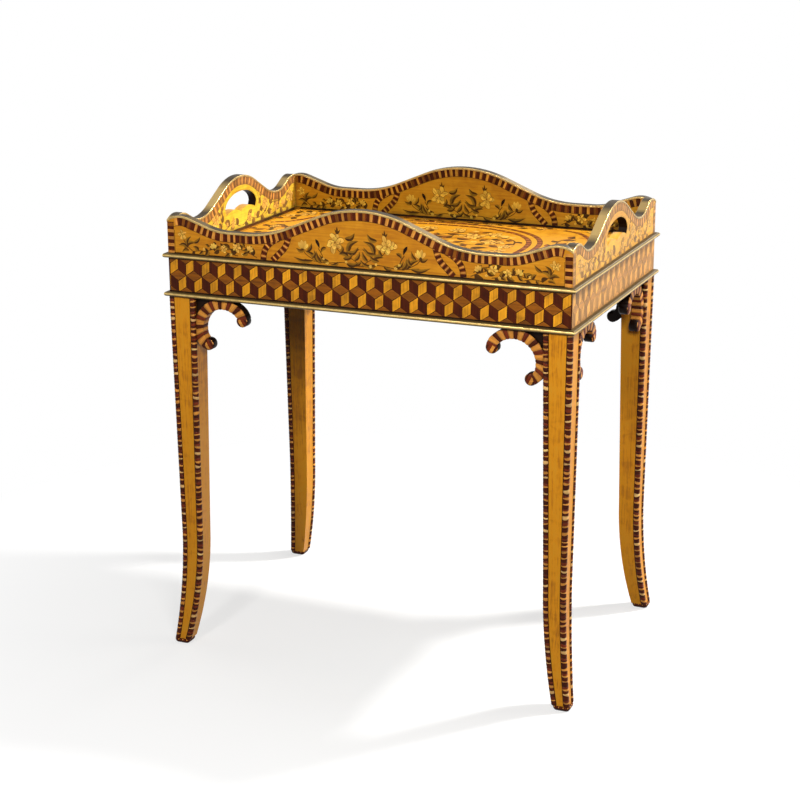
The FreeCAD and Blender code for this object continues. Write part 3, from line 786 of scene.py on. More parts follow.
def frieze_side(name, quarters, woods, sizes):
    """Two rows of tumbling blocks with a border all round, over a dark ground; the black border
    along the top and bottom is painted shadow along the brass beads.
    """
    half, height = side_sizes(quarters)[0] / 2, FRIEZE_HIGH - FRIEZE_LOW
    veneers = Veneers(outer_face(quarters, FRIEZE_LOW), woods, 10 + quarters, sizes)
    joint, line, border = veneers.joint, sizes.block_line / MM, FRIEZE_BORDER
    count = round(2 * half / (sizes.block_pitch / MM) - 0.6) + 0.6
    pitch = 2 * half / count
    side, rise = height / 3, height / 6
    low, high = (-half + border, border), (half - border, height - border)
    right, left, down = (Vector(way) for way in ((pitch / 2, rise), (-pitch / 2, rise),
                                                 (0, -side)))
    for row in range(-1, 3):
        first = -half + pitch * 0.58 + (pitch / 2 if row % 2 else 0.0)
        for number in range(-2, int(count) + 3):
            hub = Vector((first + pitch * number, side + row * (side + rise)))
            for wood_name, across, up, turn, edge in (
                    ("golden", down, right, math.pi / 2, line),
                    ("rosewood", left, down, math.pi / 2, joint),
                    ("brown", right, left, 0.0, line)):
                shape = clipped([hub, hub + across, hub + across + up, hub + up], low, high)
                if len(shape) > 2:
                    veneers.tile(shrunk(shape, edge), wood_name, BLOCK_RIM, turn)
    for end in (-1, 1):
        low_u, high_u = sorted((end * (half - border + joint), end * (half - EDGE_GAP)))
        veneers.tile(rectangle(low_u, 0, high_u, height), "rosewood", BORDER_RIM, math.pi / 2)
    # Black strips along the top and bottom: painted shadow along the brass beads.
    for low_w in (EDGE_GAP, height - border + joint):
        high_w = low_w + border - joint - EDGE_GAP
        veneers.tile(rectangle(-half + border, low_w, half - border, high_w), "black",
                     BORDER_RIM)
    start = len(veneers.points)
    for depth in (0.1, 1.5):
        for u, w in rectangle(-half + depth, 0, half - depth, height):
            veneers.vertex(u, w, -depth, 0.0, 1.0, (0.5, 0.0, 0.0))
    veneers.close(start, tube_faces(2, 4), "black")
    veneers.finish("blocks_" + name, "stand", None, "frieze_veneer_" + name)


# ---- legs
BEAD_FOOT = 8.0             # height where the banded beads begin, above the toe
BEAD_SUNK = 2.5             # how far a bead's middle lies inside the leg's corner
BEAD_SIDES = 20
RING_GAP = 0.04             # half the joint between two rings
RING_LAST = 1.5             # a last ring shorter than this joins the one below
RING_LEAN = 0.3, 1.1        # most that a ring's end leans: share of its height, and limit
LINE_FOOT = 9.0             # height where the stringing beside the beads begins
LINE_INSET = 6.3            # from the leg's edge to its stringing
LINE_WIDTH = 0.9

# One ring of a bead from foot to top: share of its height, share of its radius, shade. The
# shade darkens the ring's ends: painted shade in the creases between swelling rings.
RING_SECTION = ((0.0, 0.9, 0.8), (0.12, 0.965, 0.28), (0.3, 0.995, 0.0), (0.5, 1.0, 0.0),
                (0.7, 0.995, 0.0), (0.88, 0.965, 0.28), (1.0, 0.9, 0.8))


def leg_edge(knee, foot, top):
    """Inset of a leg's edge behind the frieze at a height: straight above the knee, a sabre
    curve below it, through the knee, the floor and a quarter between.
    """
    ax, ay = knee, KNEE
    bx, by = knee + (foot - knee) / 4, KNEE / 2
    cx, cy = foot, 0.0
    d = 2 * (ax * (by - cy) + bx * (cy - ay) + cx * (ay - by))
    a, b, c = ax * ax + ay * ay, bx * bx + by * by, cx * cx + cy * cy
    x = (a * (by - cy) + b * (cy - ay) + c * (ay - by)) / d
    y = (a * (cx - bx) + b * (ax - cx) + c * (bx - ax)) / d
    radius = math.hypot(ax - x, ay - y)

    def inset(height):
        if height < KNEE:
            return x + math.copysign(math.sqrt(radius ** 2 - (height - y) ** 2), knee - x)
        return top + (knee - top) * (LEG_TOP - height) / (LEG_TOP - KNEE)
    return inset


outer_inset = leg_edge(3.4, -11.0, 0.0)
inner_inset = leg_edge(35.5, 12.5, 41.0)


def at_corner(quarters):
    """Place in a corner's own frame, X and Y inwards from the frieze's corner, in metres."""
    across, along = ((-1, -1), (1, -1), (1, 1), (-1, 1))[quarters]

    def place(x, y, z):
        x, y = turned(quarters, x, y)
        return Vector((across * LENGTH / 2 + x, along * DEPTH / 2 + y, z)) * MM
    return place


def leg_beads(name, quarters, woods, sizes):
    """Three beads of turned rings let into the corners of a leg."""
    radius = sizes.bead / MM / 2
    rings = Veneers(None, woods, 40 + quarters, sizes)
    to_world = at_corner(quarters)
    chance = rings.random
    outer, inner = (outer_inset, BEAD_SUNK), (inner_inset, -BEAD_SUNK)
    for (across, sunk_x), (along, sunk_y) in ((outer, outer), (inner, outer), (outer, inner)):
        turn = rings.rhythm(*LEG_RINGS, sizes.ring / MM)
        low, lean = BEAD_FOOT, (0.0, 0.0)
        while low < LEG_TOP:
            wood_name, size = turn()
            high = min(low + size, LEG_TOP)
            if LEG_TOP - high < RING_LAST:
                high = LEG_TOP
            reach = 0.0 if high == LEG_TOP else min(RING_LEAN[0] * size, RING_LEAN[1])
            next_lean = [chance.uniform(-reach, reach) for _ in range(2)]
            seed, tone = chance.random() * 9, chance.uniform(0.2, 0.9)
            start = len(rings.points)
            for share, swell, shade in RING_SECTION:
                level = low + RING_GAP + (high - low - 2 * RING_GAP) * share
                x, y = across(level) + sunk_x, along(level) + sunk_y
                lean_x, lean_y = (a + (b - a) * share for a, b in zip(lean, next_lean))
                for side in range(BEAD_SIDES):
                    angle = 2 * math.pi * side / BEAD_SIDES
                    c, s = math.cos(angle), math.sin(angle)
                    rings.point(to_world(x + radius * swell * c, y + radius * swell * s,
                                         level + lean_x * c + lean_y * s),
                                (radius * angle * MM + seed, level * MM + seed, seed),
                                (tone, shade, 0.0))
            rings.close(start, tube_faces(len(RING_SECTION), BEAD_SIDES), wood_name)
            low, lean = high, next_lean
    rings.finish("rings_" + name, "stand", 50, "leg_beads_" + name)


def leg_lines(name, quarters, woods, sizes):
    """Dark stringing beside the beads on each face of a leg."""
    to_world = at_corner(quarters)
    lines = Veneers(None, woods, 60 + quarters, sizes)
    heights = [LINE_FOOT + (KNEE - LINE_FOOT) * step / 14 for step in range(14)]
    heights += [KNEE + (LEG_TOP - KNEE - 0.2) * step / 8 for step in range(9)]
    rows = [[(LINE_INSET, z, 0.0), (LINE_INSET + LINE_WIDTH, z, 0.0)] for z in heights]

    def along_face(face, edge, inwards, out, swap):
        def place(u, w, h):
            x, y = edge(w) + inwards * u, face(w) + out * h
            return to_world(y, x, w) if swap else to_world(x, y, w)
        return place
    for swap in (False, True):
        for face in ((outer_inset, outer_inset, 1, -1), (outer_inset, inner_inset, -1, -1),
                     (inner_inset, outer_inset, 1, 1)):
            lines.place = along_face(*face, swap)
            lines.sheet(rows, "black", 0.06, math.pi / 2, 0.5)
    lines.finish("leg_lines_" + name, "stand")


TOE_LOW, TOE_HIGH = -12.6, 14.1     # a toe's sides, in its corner's frame
TOE_ROUND = 6.3             # radius of its upright edges
TOE_UNDER = 6.0             # radius under it
TOE_BAND = 6.6              # height where its top edge is eased
TOE_EASE = 1.4              # radius of its eased top edge
TOE_STEP = 1.7              # between the points round it


def toe_outline(inset):
    """Rounded square of a toe, drawn in by an inset, as points all round."""
    radius = max(0.3, TOE_ROUND - inset)
    low, high = TOE_LOW + inset, TOE_HIGH - inset
    points = []
    for cx, cy, start in ((high, high, 0), (low, high, 90), (low, low, 180), (high, low, 270)):
        x, y = (side - radius if side == high else side + radius for side in (cx, cy))
        for step in range(6):
            angle = math.radians(start + 90 * step / 5)
            points.append((x + radius * math.cos(angle), y + radius * math.sin(angle)))
    dense = []
    for (ax, ay), (bx, by) in zip(points, points[1:] + points[:1]):
        parts = max(1, round(math.hypot(bx - ax, by - ay) / TOE_STEP))
        dense += [(ax + (bx - ax) * k / parts, ay + (by - ay) * k / parts)
                  for k in range(parts)]
    return dense


def toe(name, quarters, woods, sizes):
    """Rounded toe with a dotted band round its upper rim."""
    to_world = at_corner(quarters)
    piece = Veneers(to_world, woods, 80 + quarters, sizes)
    profile = [(TOE_UNDER * (1 - math.sin(angle)), TOE_UNDER * (1 - math.cos(angle)))
               for angle in map(math.radians, range(0, 91, 18))]
    banded = len(profile) - 1
    profile.append((0.0, TOE_BAND))
    profile += [(TOE_EASE * (1 - math.cos(angle)), TOE_BAND + TOE_EASE * math.sin(angle))
                for angle in map(math.radians, (45, 90))]
    count = len(toe_outline(0.0))
    for inset, z in profile:
        outline = toe_outline(inset)
        ring = Path(outline + outline[:1])
        for k in range(count):
            x, y = ring.at(ring.length * k / count)[0]
            # Points near the floor get a shade of 0.5: painted shade under the toe.
            piece.point(to_world(x, y, z), (x * MM, (y + z) * MM, 1.0 + quarters),
                        (0.5, 0.5 if z < 1 else 0.0, 0.0))
    dots = [("tan", "rosewood", "redwood", "rosewood")[k % 4] for k in range(count)]
    slots = ["rosewood"] * (2 + banded * count) + dots * (len(profile) - 1 - banded)
    piece.close(0, tube_faces(len(profile), count), slots)
    piece.finish("banded_toe_" + name, "stand", 40, "toe_" + name)


# ---- scrolls
SCROLL_CENTRE = Vector((88.3, 529.9))       # middle of a C, in its corner's frame
SCROLL_IN, SCROLL_OUT = 33.5, 50.0          # radii of the C
CURL_IN, CURL_OUT = 13.5, 30.0              # radii of its two tighter ends
SCROLL_FRONT, SCROLL_DEPTH = 2.5, 17.0
EYE_RADIUS, EYE_REACH = 9.4, 20.5           # its size, and how far along the curl it sits
EYE_LEAN = 28                               # degrees that its stripes lean
EYE_STRIPES = ("tan", "rosewood", "tan", "redwood", "rosewood", "tan")
WEDGES = ("redwood", "tan", "rosewood", "tan")
WEDGE_SHARES = (0.012, 0.1, 0.3, 0.5, 0.7, 0.9, 0.988)      # its sections along the scroll
WEDGE_SWELL = 0.9                           # how far its sections draw in at its joints
WEB_REACH = 30.0                            # corner of a fillet, behind the leg's face
WEB_FACES = (8.0, 15.0)                     # its front and back

# A wedge's section from its inner edge: share of its width, and of the dome's drop.
WEDGE_SECTION = ((0.02, 0.30), (0.045, 0.12), (0.13, 0.03), (0.5, 0.0), (0.87, 0.03),
                 (0.955, 0.12), (0.98, 0.30))
SCROLL_NODES = (("front_left", "right_front", "back_right", "left_back"),
                ("left_front", "front_right", "right_back", "back_left"))


def scroll_stations():
    """Inner and outer edge from the eye under the frieze to the one beside the leg, and both
    eyes.
    """
    def polar(origin, reach, degrees):
        return origin + heading(math.radians(degrees)) * reach
    upper, lower = (polar(SCROLL_CENTRE, SCROLL_OUT - CURL_OUT, degrees)
                    for degrees in (49, 193))
    edges = [[], []]
    for origin, radii, degrees in ((upper, (CURL_IN, CURL_OUT), range(13, 49, 3)),
                                   (SCROLL_CENTRE, (SCROLL_IN, SCROLL_OUT), range(49, 193, 3)),
                                   (lower, (CURL_IN, CURL_OUT), range(193, 246, 3))):
        for edge, radius in zip(edges, radii):
            edge += [polar(origin, radius, angle) for angle in degrees]
    eyes = polar(upper, EYE_REACH, 9), polar(lower, EYE_REACH, 249)
    return Path(edges[0]), Path(edges[1]), eyes


def scroll(name, quarters, swap, woods, sizes):
    """C-scroll built of wedges, each rounded over in front, with an eye at each end."""
    to_world = at_corner(quarters)
    inner, outer, eyes = scroll_stations()
    piece = Veneers(None, woods, 100 + quarters * 2 + swap, sizes)
    dome = sizes.dome / MM

    def put(x, y, z, seed, tone, shade, turn):
        """Point kept under the frieze and beside the leg."""
        z = min(z, LEG_TOP - EDGE_GAP)
        x = max(x, inner_inset(z) + EDGE_GAP)
        along = x * math.cos(turn) + z * math.sin(turn)
        across = z * math.cos(turn) - x * math.sin(turn)
        piece.point(to_world(y, x, z) if swap else to_world(x, y, z),
                    (along * MM + seed, across * MM + seed, y * MM), (tone, shade, 0.0))

    loop = [(share, dome * drop * 2.2) for share, drop in WEDGE_SECTION]
    loop += [(share, SCROLL_DEPTH - dome * drop) for share, drop in reversed(WEDGE_SECTION)]
    size, front_faces = len(loop), len(WEDGE_SECTION) - 1
    weights = [1.15 if number % 2 else 0.8 for number in range(sizes.scroll_wedges)]
    begin = 0.0
    for number, weight in enumerate(weights):
        end = begin + weight / sum(weights)
        seed, tone = piece.random.random() * 9, piece.random.uniform(0.3, 0.75)
        start = len(piece.points)
        for share in WEDGE_SHARES:
            t = begin + (end - begin) * share
            near, far = (edge.at(edge.length * t)[0] for edge in (inner, outer))
            rim = abs(2 * share - 1)
            swell = WEDGE_SWELL * rim ** 2.5
            way = (far - near).normalized()
            near, far = near + way * swell * 0.7, far - way * swell * 0.4
            for across, deep in loop:
                x, z = near + (far - near) * across
                # Each wedge darkens towards its joints: painted shade in the creases between
                # swelling wedges.
                put(x, SCROLL_FRONT + min(deep + swell * 0.6, SCROLL_DEPTH), z, seed, tone,
                    0.8 * rim ** 3, math.atan2(way.y, way.x))
        wedge = WEDGES[number % 4]
        # The outer wall and the back of each wedge are black: painted shade.
        ring = [wedge] * front_faces + ["black"] * (size - front_faces - 1) + [wedge]
        piece.close(start, tube_faces(len(WEDGE_SHARES), size),
                    [wedge] * 2 + ring * (len(WEDGE_SHARES) - 1))
        begin = end
    for eye in eyes:
        scroll_eye(piece, put, eye, dome)
    scroll_web(piece, put)
    piece.finish(name, "stand", 45, "scroll_" + SCROLL_NODES[swap][quarters])


def scroll_eye(piece, put, eye, dome):
    """Round end of a scroll in stripes of wood, with a shallow dome; its rim is darkened and
    its back and edge are black, all painted shade.
    """
    columns, rows = 12, 8
    way = heading(math.radians(EYE_LEAN))
    start, seed = len(piece.points), piece.random.random() * 9
    for back in (False, True):
        for column in range(columns + 1):
            along = -math.cos(math.pi * column / columns)
            chord = max(0.03, math.sin(math.pi * column / columns))
            for row in range(rows + 1):
                across = -math.cos(math.pi * row / rows) * chord
                x, z = eye + (way * along + left_of(way) * across) * EYE_RADIUS
                out = math.hypot(along, across)
                drop = dome * out ** 5
                # The rim of the dome is darkened: painted shade.
                put(x, SCROLL_FRONT + (SCROLL_DEPTH - drop if back else drop), z, seed, 0.5,
                    0.6 * min(1.0, out) ** 8, 0.0)
    faces = slab_faces(columns + 1, rows + 1)
    # The back and the edge are black: painted shade.
    slots = []
    for column in range(columns):
        slots += [EYE_STRIPES[column // 2], "black"] * rows
    piece.close(start, faces, slots + ["black"] * (len(faces) - len(slots)))


def scroll_web(piece, put):
    """Black fillet in the corner between the scroll, the leg and the frieze: painted shade in
    that corner.
    """
    outline = [SCROLL_CENTRE + heading(math.radians(angle)) * (SCROLL_OUT - 1)
               for angle in range(96, 169, 8)]
    outline.append((WEB_REACH, LEG_TOP))
    start, count = len(piece.points), len(outline)
    for y in WEB_FACES:
        for x, z in outline:
            put(x, y, z, 2.0, 0.5, 0.0, 0.0)
    faces = []
    for k in range(count - 2):
        faces += [(k, k + 1, count - 1), (count + k + 1, count + k, 2 * count - 1)]
    faces += [(k, count + k, count + (k + 1) % count, (k + 1) % count) for k in range(count)]
    piece.close(start, faces, "black")


# ---- marquetry motifs
UP = math.pi / 2


def oval(width):
    """Half width of a petal, fullest towards its round tip."""
    return lambda t: width * max(0.0, math.sin(math.pi * min(1.0, t ** 1.35))) ** 0.6


def pointed(width):
    """Half width of a leaf, fullest before its middle."""
    return lambda t: width * math.sin(math.pi * t ** 0.75)


def draw_leaf(veneers, base, tip, bend, width, pale=True):
    """Leaf from base to tip, one half lighter than the other if it is pale."""
    way = tip - base
    middle = (base + tip) / 2 + left_of(way) * bend
    veneers.blade([base, middle, tip], pointed(width * 0.58), "leaf", veneers.rise, (0.55, 0.0),
                  other="leaf_pale" if pale else None)


class Spray:
    """Pen for flowers and foliage; its drawing is mirrored by side and by way."""

    def __init__(self, veneers, side=1, way=1):
        self.veneers = veneers
        self.rise = veneers.rise
        self.side, self.way = side, way

    def at(self, u, w):
        """Mirrored point."""
        return Vector((self.side * u, self.way * w))

    def stem(self, points, width=1.1):
        """Thin stem; gives its curve."""
        curve = smooth([self.at(*point) for point in points])
        self.veneers.strip(curve, width, "leaf", 0.7)
        return curve

    def leaves(self, *rows):
        """Leaves from rows of base, tip, bend and width."""
        for base, tip, bend, width in rows:
            draw_leaf(self.veneers, self.at(*base), self.at(*tip), bend * self.side, width)

    def sprigs(self, girth, thick, *rows):
        """Stems with leaves in turn on both sides, from rows of points and leaf length."""
        for points, usual in rows:
            path = Path(self.stem(points, thick))
            count = max(2, int(path.length / (usual * 0.75)))
            for number in range(count):
                spot, way = path.at(path.length * (number + 0.6) / count)
                sign = 1 if number % 2 else -1
                size = usual * self.veneers.random.uniform(0.75, 1.15)
                tip = spot + (way * 0.75 + left_of(way) * sign * 0.65) * size
                draw_leaf(self.veneers, spot, tip, 0.12 * sign, size * girth, number % 3 != 0)

    def flower(self, u, w, reach, count, turn, edge=0.05):
        """Full flower of three layers of rounded petals, each edged in brown."""
        veneers, height = self.veneers, self.rise + 0.1
        chance = veneers.random
        if veneers.laid > 8:
            veneers.laid = 0
        centre = self.at(u, w)
        for layer, (share, number) in enumerate(((1.0, count), (0.74, count - 1), (0.42, 3))):
            for index in range(number):
                angle = turn + layer * 0.6 + 2 * math.pi * index / number
                way = heading(angle + chance.uniform(-0.25, 0.25))
                size = reach * share * chance.uniform(0.78, 1.14)
                bend = left_of(way) * size * chance.uniform(-0.2, 0.2)
                start = centre + way * reach * 0.06
                spine = [start, start + way * size * 0.55 + bend, centre + way * size]
                width = reach * chance.uniform(0.19, 0.28) * (0.5 + share / 2)
                veneers.blade(spine, oval(width + edge * reach), "brown", height, (0.3, 0.3),
                              tone=0.5)
                veneers.blade(spine, oval(width), "cream", height, (0.75, 0.0),
                              tone=chance.uniform(0.25, 0.95))
        way = heading(turn) * reach * 0.12
        veneers.blade([centre - way, centre + way], oval(reach * 0.07), "brown", height)

    def tulip(self, u, w, turn, reach):
        """Half-open bud of four petals on a dark cup."""
        base = self.at(u, w)
        for spread, share in ((-0.62, 0.85), (-0.2, 1.0), (0.22, 1.0), (0.62, 0.85)):
            way = heading(turn + spread) * reach
            self.veneers.blade([base + way * 0.16, base + way * share], oval(reach * 0.16),
                               "cream", self.rise * 1.3, (0.7, 0.0))
        way = heading(turn) * reach
        self.veneers.blade([base - way * 0.2, base + way * 0.3], oval(reach * 0.15), "leaf",
                           self.rise * 1.5)

    def crescent(self, u, w, size):
        """Small black crescent."""
        across, up = Vector((self.side * size, 0)), Vector((0, size))
        middle = self.at(u, w)
        spine = [middle + across * 0.35 + up, middle - across * 0.15 + up * 0.2,
                 middle - across * 0.5 - up * 0.75]
        self.veneers.blade(spine, pointed(size * 0.32), "black", self.rise, tone=0.3)

    def spiky_bud(self, u, w, size):
        """Three dark prongs above a flower."""
        base = self.at(u, w)
        for lean, share in ((-0.6, 0.72), (0.05, 1.0), (0.55, 0.72)):
            self.veneers.blade([base, base + heading(UP + lean) * size * share],
                               pointed(size * 0.13), "leaf", self.rise)

    def blossoms(self, *rows):
        """Small round blossoms of five petals, from rows of u, w and size."""
        for u, w, size in rows:
            middle = self.at(u, w)
            turn = self.veneers.random.uniform(0, 1.2)
            for number in range(5):
                tip = middle + heading(turn + 2 * math.pi * number / 5) * size
                self.veneers.blade([middle, tip], oval(size * 0.34), "cream", self.rise * 1.2,
                                   (0.6, 0.0), 6)


def long_spray(pen):
    """One half of the middle panel: a great flower, a bud above it and foliage below."""
    for points in (((0, 4), (14, 14), (30, 20), (41, 30)), ((2, 4), (28, 8), (58, 5), (92, 8)),
                   ((66, 4), (78, 9), (90, 16), (95, 24)), ((42, 42), (40, 50), (38, 54)),
                   ((18, 16), (12, 22), (3, 30)), ((60, 6), (63, 16), (69, 26))):
        pen.stem(points)
    pen.spiky_bud(38, 50, 11)
    pen.leaves(((26, 44), (10, 53), 0.22, 6.4), ((22, 22), (4, 42), -0.22, 7.0),
               ((24, 24), (4, 33), 0.24, 5.6), ((29, 14), (13, 22), 0.16, 5.6),
               ((11, 12), (2, 26), 0.12, 5.0), ((20, 18), (36, 20), 0.14, 5.8),
               ((24, 7), (4, 9), 0.16, 5.8), ((52, 8), (68, 17), -0.2, 5.4),
               ((72, 5), (92, 21), 0.14, 5.6), ((64, 4), (73, 22), -0.14, 5.6),
               ((78, 7), (110, 10), -0.12, 5.4), ((80, 11), (76, 23), 0.2, 4.6),
               ((92, 22), (106, 24), -0.2, 4.8), ((88, 20), (80, 33), 0.15, 4.6),
               ((36, 8), (50, 3), -0.15, 4.2), ((56, 28), (65, 20), 0.2, 4.6),
               ((14, 5), (-2, 14), 0.15, 4.6), ((34, 22), (30, 33), 0.2, 4.4))
    pen.flower(42, 37, 15.5, 6, UP + pen.side * 0.35)
    pen.tulip(95, 21, UP + pen.side * 0.12, 16)
    pen.crescent(71, 32, 7.5)
    pen.blossoms((15, 5.5, 2.8), (55, 5.5, 3.0), (24, 9, 2.2), (61, 11, 2.2))


def long_end_spray(pen):
    """Foliage and flowers of an outer panel of a long board."""
    pen.sprigs(0.5, 1.1, (((172, 4), (186, 10), (204, 15), (222, 12)), 13),
               (((176, 10), (192, 18), (210, 20)), 9),
               (((204, 4), (222, 7), (240, 11), (258, 8)), 12),
               (((226, 13), (242, 17), (256, 14)), 8), (((252, 4), (266, 7), (282, 5)), 10))
    pen.stem(((280, 4), (290, 12), (297, 22)))
    pen.leaves(((296, 8), (276, 19), -0.22, 6.4), ((290, 10), (306, 13), 0.2, 5),
               ((288, 6), (300, 3), 0.2, 4.4), ((280, 18), (268, 28), 0.1, 4.4),
               ((292, 14), (284, 28), -0.2, 4.6))
    pen.flower(299, 29, 8.0, 5, 0.5)
    pen.flower(206, 16, 8.0, 5, 1.1)
    pen.flower(228, 13, 7.0, 5, 0.4)
    pen.tulip(186, 11, UP + pen.side * 0.5, 11)
    pen.tulip(244, 10, UP - pen.side * 0.3, 11)
    pen.blossoms((216, 5, 2.6), (262, 10, 2.6), (196, 7, 2.4))


def end_spray(pen):
    """Foliage and flowers beside a hand-hold."""
    pen.sprigs(0.6, 1.4, (((4, 4), (30, 12), (58, 7), (88, 14)), 17),
               (((86, 8), (110, 24), (138, 22)), 17), (((108, 4), (138, 10), (170, 5)), 16),
               (((150, 12), (164, 22), (182, 24)), 13), (((62, 14), (70, 30), (66, 46)), 13))
    pen.flower(84, 27, 13.0, 6, 0.4)
    pen.flower(178, 25, 12.0, 6, 0.2)
    pen.flower(126, 15, 10.0, 5, 0.9)
    pen.flower(28, 13, 8.5, 5, 0.5)
    pen.tulip(152, 10, UP, 15)
    pen.crescent(66, 34, 6.5)
    pen.blossoms((48, 14, 4.0), (106, 8, 4.0), (192, 8, 4.0))


# ---- gallery
HAND_HALF = 53              # half width of a hand-hold's arch
HAND_SPRING = 37            # height its arch springs from
HAND_ARCH = 24.5            # height of its arch
HAND_LOW = 49, 28.3         # where its sides end, from the middle and up
SHADE_SHEET_INSET = 0.15         # from a board's faces to the edges of the black sheet that paints the shade in a hand-hold

# The crossed ribbons on one half of a long board.
CROSSED = (((161, 1.5), (160, 10), (156, 20), (146, 30), (133, 37)),
           ((146, 1.5), (135, 12), (126, 21), (121, 30), (118, 40)))


def crest_line(name, quarters, inner):
    """Top edge of a gallery board, left to right, found on the solid."""
    size, face = side_sizes(quarters)
    half = size / 2 - (BOARD if inner else 0.0) - 0.2
    depth = -face / 2 + (BOARD - 0.1 if inner else 0.1)
    count = int(half)
    points = []
    for step in range(-count, count + 1):
        u = half * step / count
        above = around(quarters, -u if inner else u, depth, 1000.0)
        hit, spot, _, _ = nodes["gallery_" + name].ray_cast(above, Vector((0, 0, -1)))
        if not hit:
            raise RuntimeError("no crest at %.1f on gallery_%s" % (u, name))
        points.append((u, spot.z / MM - GALLERY_FOOT))
    return Path(points)


def gallery_face(name, quarters, inner, woods, sizes):
    """Marquetry, banding and ribbons on one face of a gallery board."""
    place = inner_face(quarters) if inner else outer_face(quarters)
    veneers = Veneers(place, woods, 200 + quarters * 2 + inner, sizes)
    width = sizes.crest_band / MM
    crest = crest_line(name, quarters, inner)
    half = side_sizes(quarters)[0] / 2 - (BOARD if inner else 0.0)
    veneers.banding(crest.shifted(-width / 2 - 0.3), width, CREST, 0.08,
                    0.3 if inner else width * 0.95)
    veneers.strip(crest.shifted(-width - 0.75).points[3:-3], STRING)
    # Black line along the foot of the board: painted shadow above the brass bead.
    veneers.strip([(-half + 0.4, 0.75), (half - 0.4, 0.75)], 1.4, share=0.8)
    for side in () if inner else (-1, 1):
        top = crest.at(0.4 if side < 0 else crest.length - 0.4)[0].y
        u = side * (half - width / 2 - 0.2)
        veneers.banding(Path([(u, 0.2), (u, top - 0.4)]), width - 0.4, CREST)
        u = side * (half - width - 0.9)
        veneers.strip([(u, 0.3), (u, top - width - 1)], STRING)
    for side in (-1, 1):
        pen = Spray(veneers, side)
        if quarters % 2:
            end_spray(pen)
            continue
        long_spray(pen)
        long_end_spray(pen)
        for points in CROSSED:
            ribbon = Path(smooth([pen.at(*point) for point in points]))
            veneers.strung(ribbon, sizes.ribbon / MM, RIBBON, 1.0)
    if quarters % 2:
        for gap, line in ((9.5, 0.9), (1.4, 0.5)):
            veneers.strip(hand_arch(range(-10, 191, 5), gap), line, "brown")
    kind = "inside" if inner else "outside"
    veneers.finish("marquetry_%s_%s" % (name, kind), "tray")


def hand_arch(degrees, gap=0.0):
    """Points round a hand-hold's arch, a gap outside it."""
    angles = map(math.radians, degrees)
    return [((HAND_HALF + gap) * math.cos(angle),
             HAND_SPRING + (HAND_ARCH + gap) * math.sin(angle)) for angle in angles]


def hand_hold_edge(name, quarters, woods, sizes):
    """Black sheet over the hand-hold's arch and sides, through the board: painted shade inside
    the hole.
    """
    across, up = HAND_LOW
    path = Path([(across, up), *hand_arch(range(0, 181, 6)), (-across, up)])
    face = side_sizes(quarters)[1]

    def within(u, w, h):
        spot, way = path.at(u)
        x, z = spot + left_of(way) * h
        return around(quarters, x, -face / 2 + w, GALLERY_FOOT + z)
    shade_sheet = Veneers(within, woods, 250 + quarters, sizes)
    rows = [[(mark, SHADE_SHEET_INSET, 0.0), (mark, BOARD - SHADE_SHEET_INSET, 0.0)]
            for mark in path.marks]
    shade_sheet.sheet(rows, "black", 0.12, math.pi / 2, 0.5)
    shade_sheet.finish("hand_hold_lining_" + name, "tray")


# ---- tray floor
OVALS = (189, 165), (172, 148)      # half length and half depth of the two ovals
BAND_INSET, BAND_WIDTH = 5.5, 10.0  # the border's banding, from the gallery
EDGE_INSET, EDGE_WIDTH = 14.0, 1.4  # the line inside it
CORNER_RIBBON = (186, 172), (214, 160), (240, 128), (262, 84), (290, 62)


def squarish_oval(across, deep, power=2.5, steps=160):
    """Closed line round a squarish oval."""
    points = []
    for step in range(steps + 1):
        angle = 2 * math.pi * step / steps
        c, s = math.cos(angle), math.sin(angle)
        points.append((across * math.copysign(abs(c) ** (2 / power), c),
                       deep * math.copysign(abs(s) ** (2 / power), s)))
    return Path(points)


def tray_marquetry(woods, sizes):
    """Oval of two ribbons, sprays inside and outside it, and a border."""
    veneers = Veneers(lambda u, w, h: Vector((u, w, TRAY_TOP + h)) * MM, woods, 300, sizes)
    brown = dict(woods)["brown"]
    veneers.woods = [(name, brown if name == "leaf_pale" else material)
                     for name, material in woods]
    width = sizes.oval_ribbon / MM
    for across, deep in OVALS:
        veneers.strung(squarish_oval(across, deep), width, FLOOR_RIBBON)
    for ends in floor_sides(BAND_INSET):
        veneers.banding(Path(ends), BAND_WIDTH, FLOOR_BORDER, margin=BAND_WIDTH / 2)
    for ends in floor_sides(EDGE_INSET):
        veneers.strip(ends, EDGE_WIDTH, "rosewood", 1.0)
    for side in (-1, 1):
        for way in (-1, 1):
            pen = Spray(veneers, side, way)
            ribbon = smooth([pen.at(*point) for point in CORNER_RIBBON])
            veneers.banding(Path(ribbon), width, FLOOR_RIBBON)
            floor_corner(pen)
            floor_quarter(pen)
        floor_end(veneers, side)
    Spray(veneers).flower(0, 0, 26, 8, 0.2, 0.11)
    veneers.finish("marquetry_tray_floor", "tray")


def floor_sides(inset):
    """Ends of the four sides of a rectangle inset from the gallery."""
    half, deep = LENGTH / 2 - BOARD - inset, DEPTH / 2 - BOARD - inset
    corners = rectangle(-half, -deep, half, deep)
    return zip(corners, corners[1:] + corners[:1])


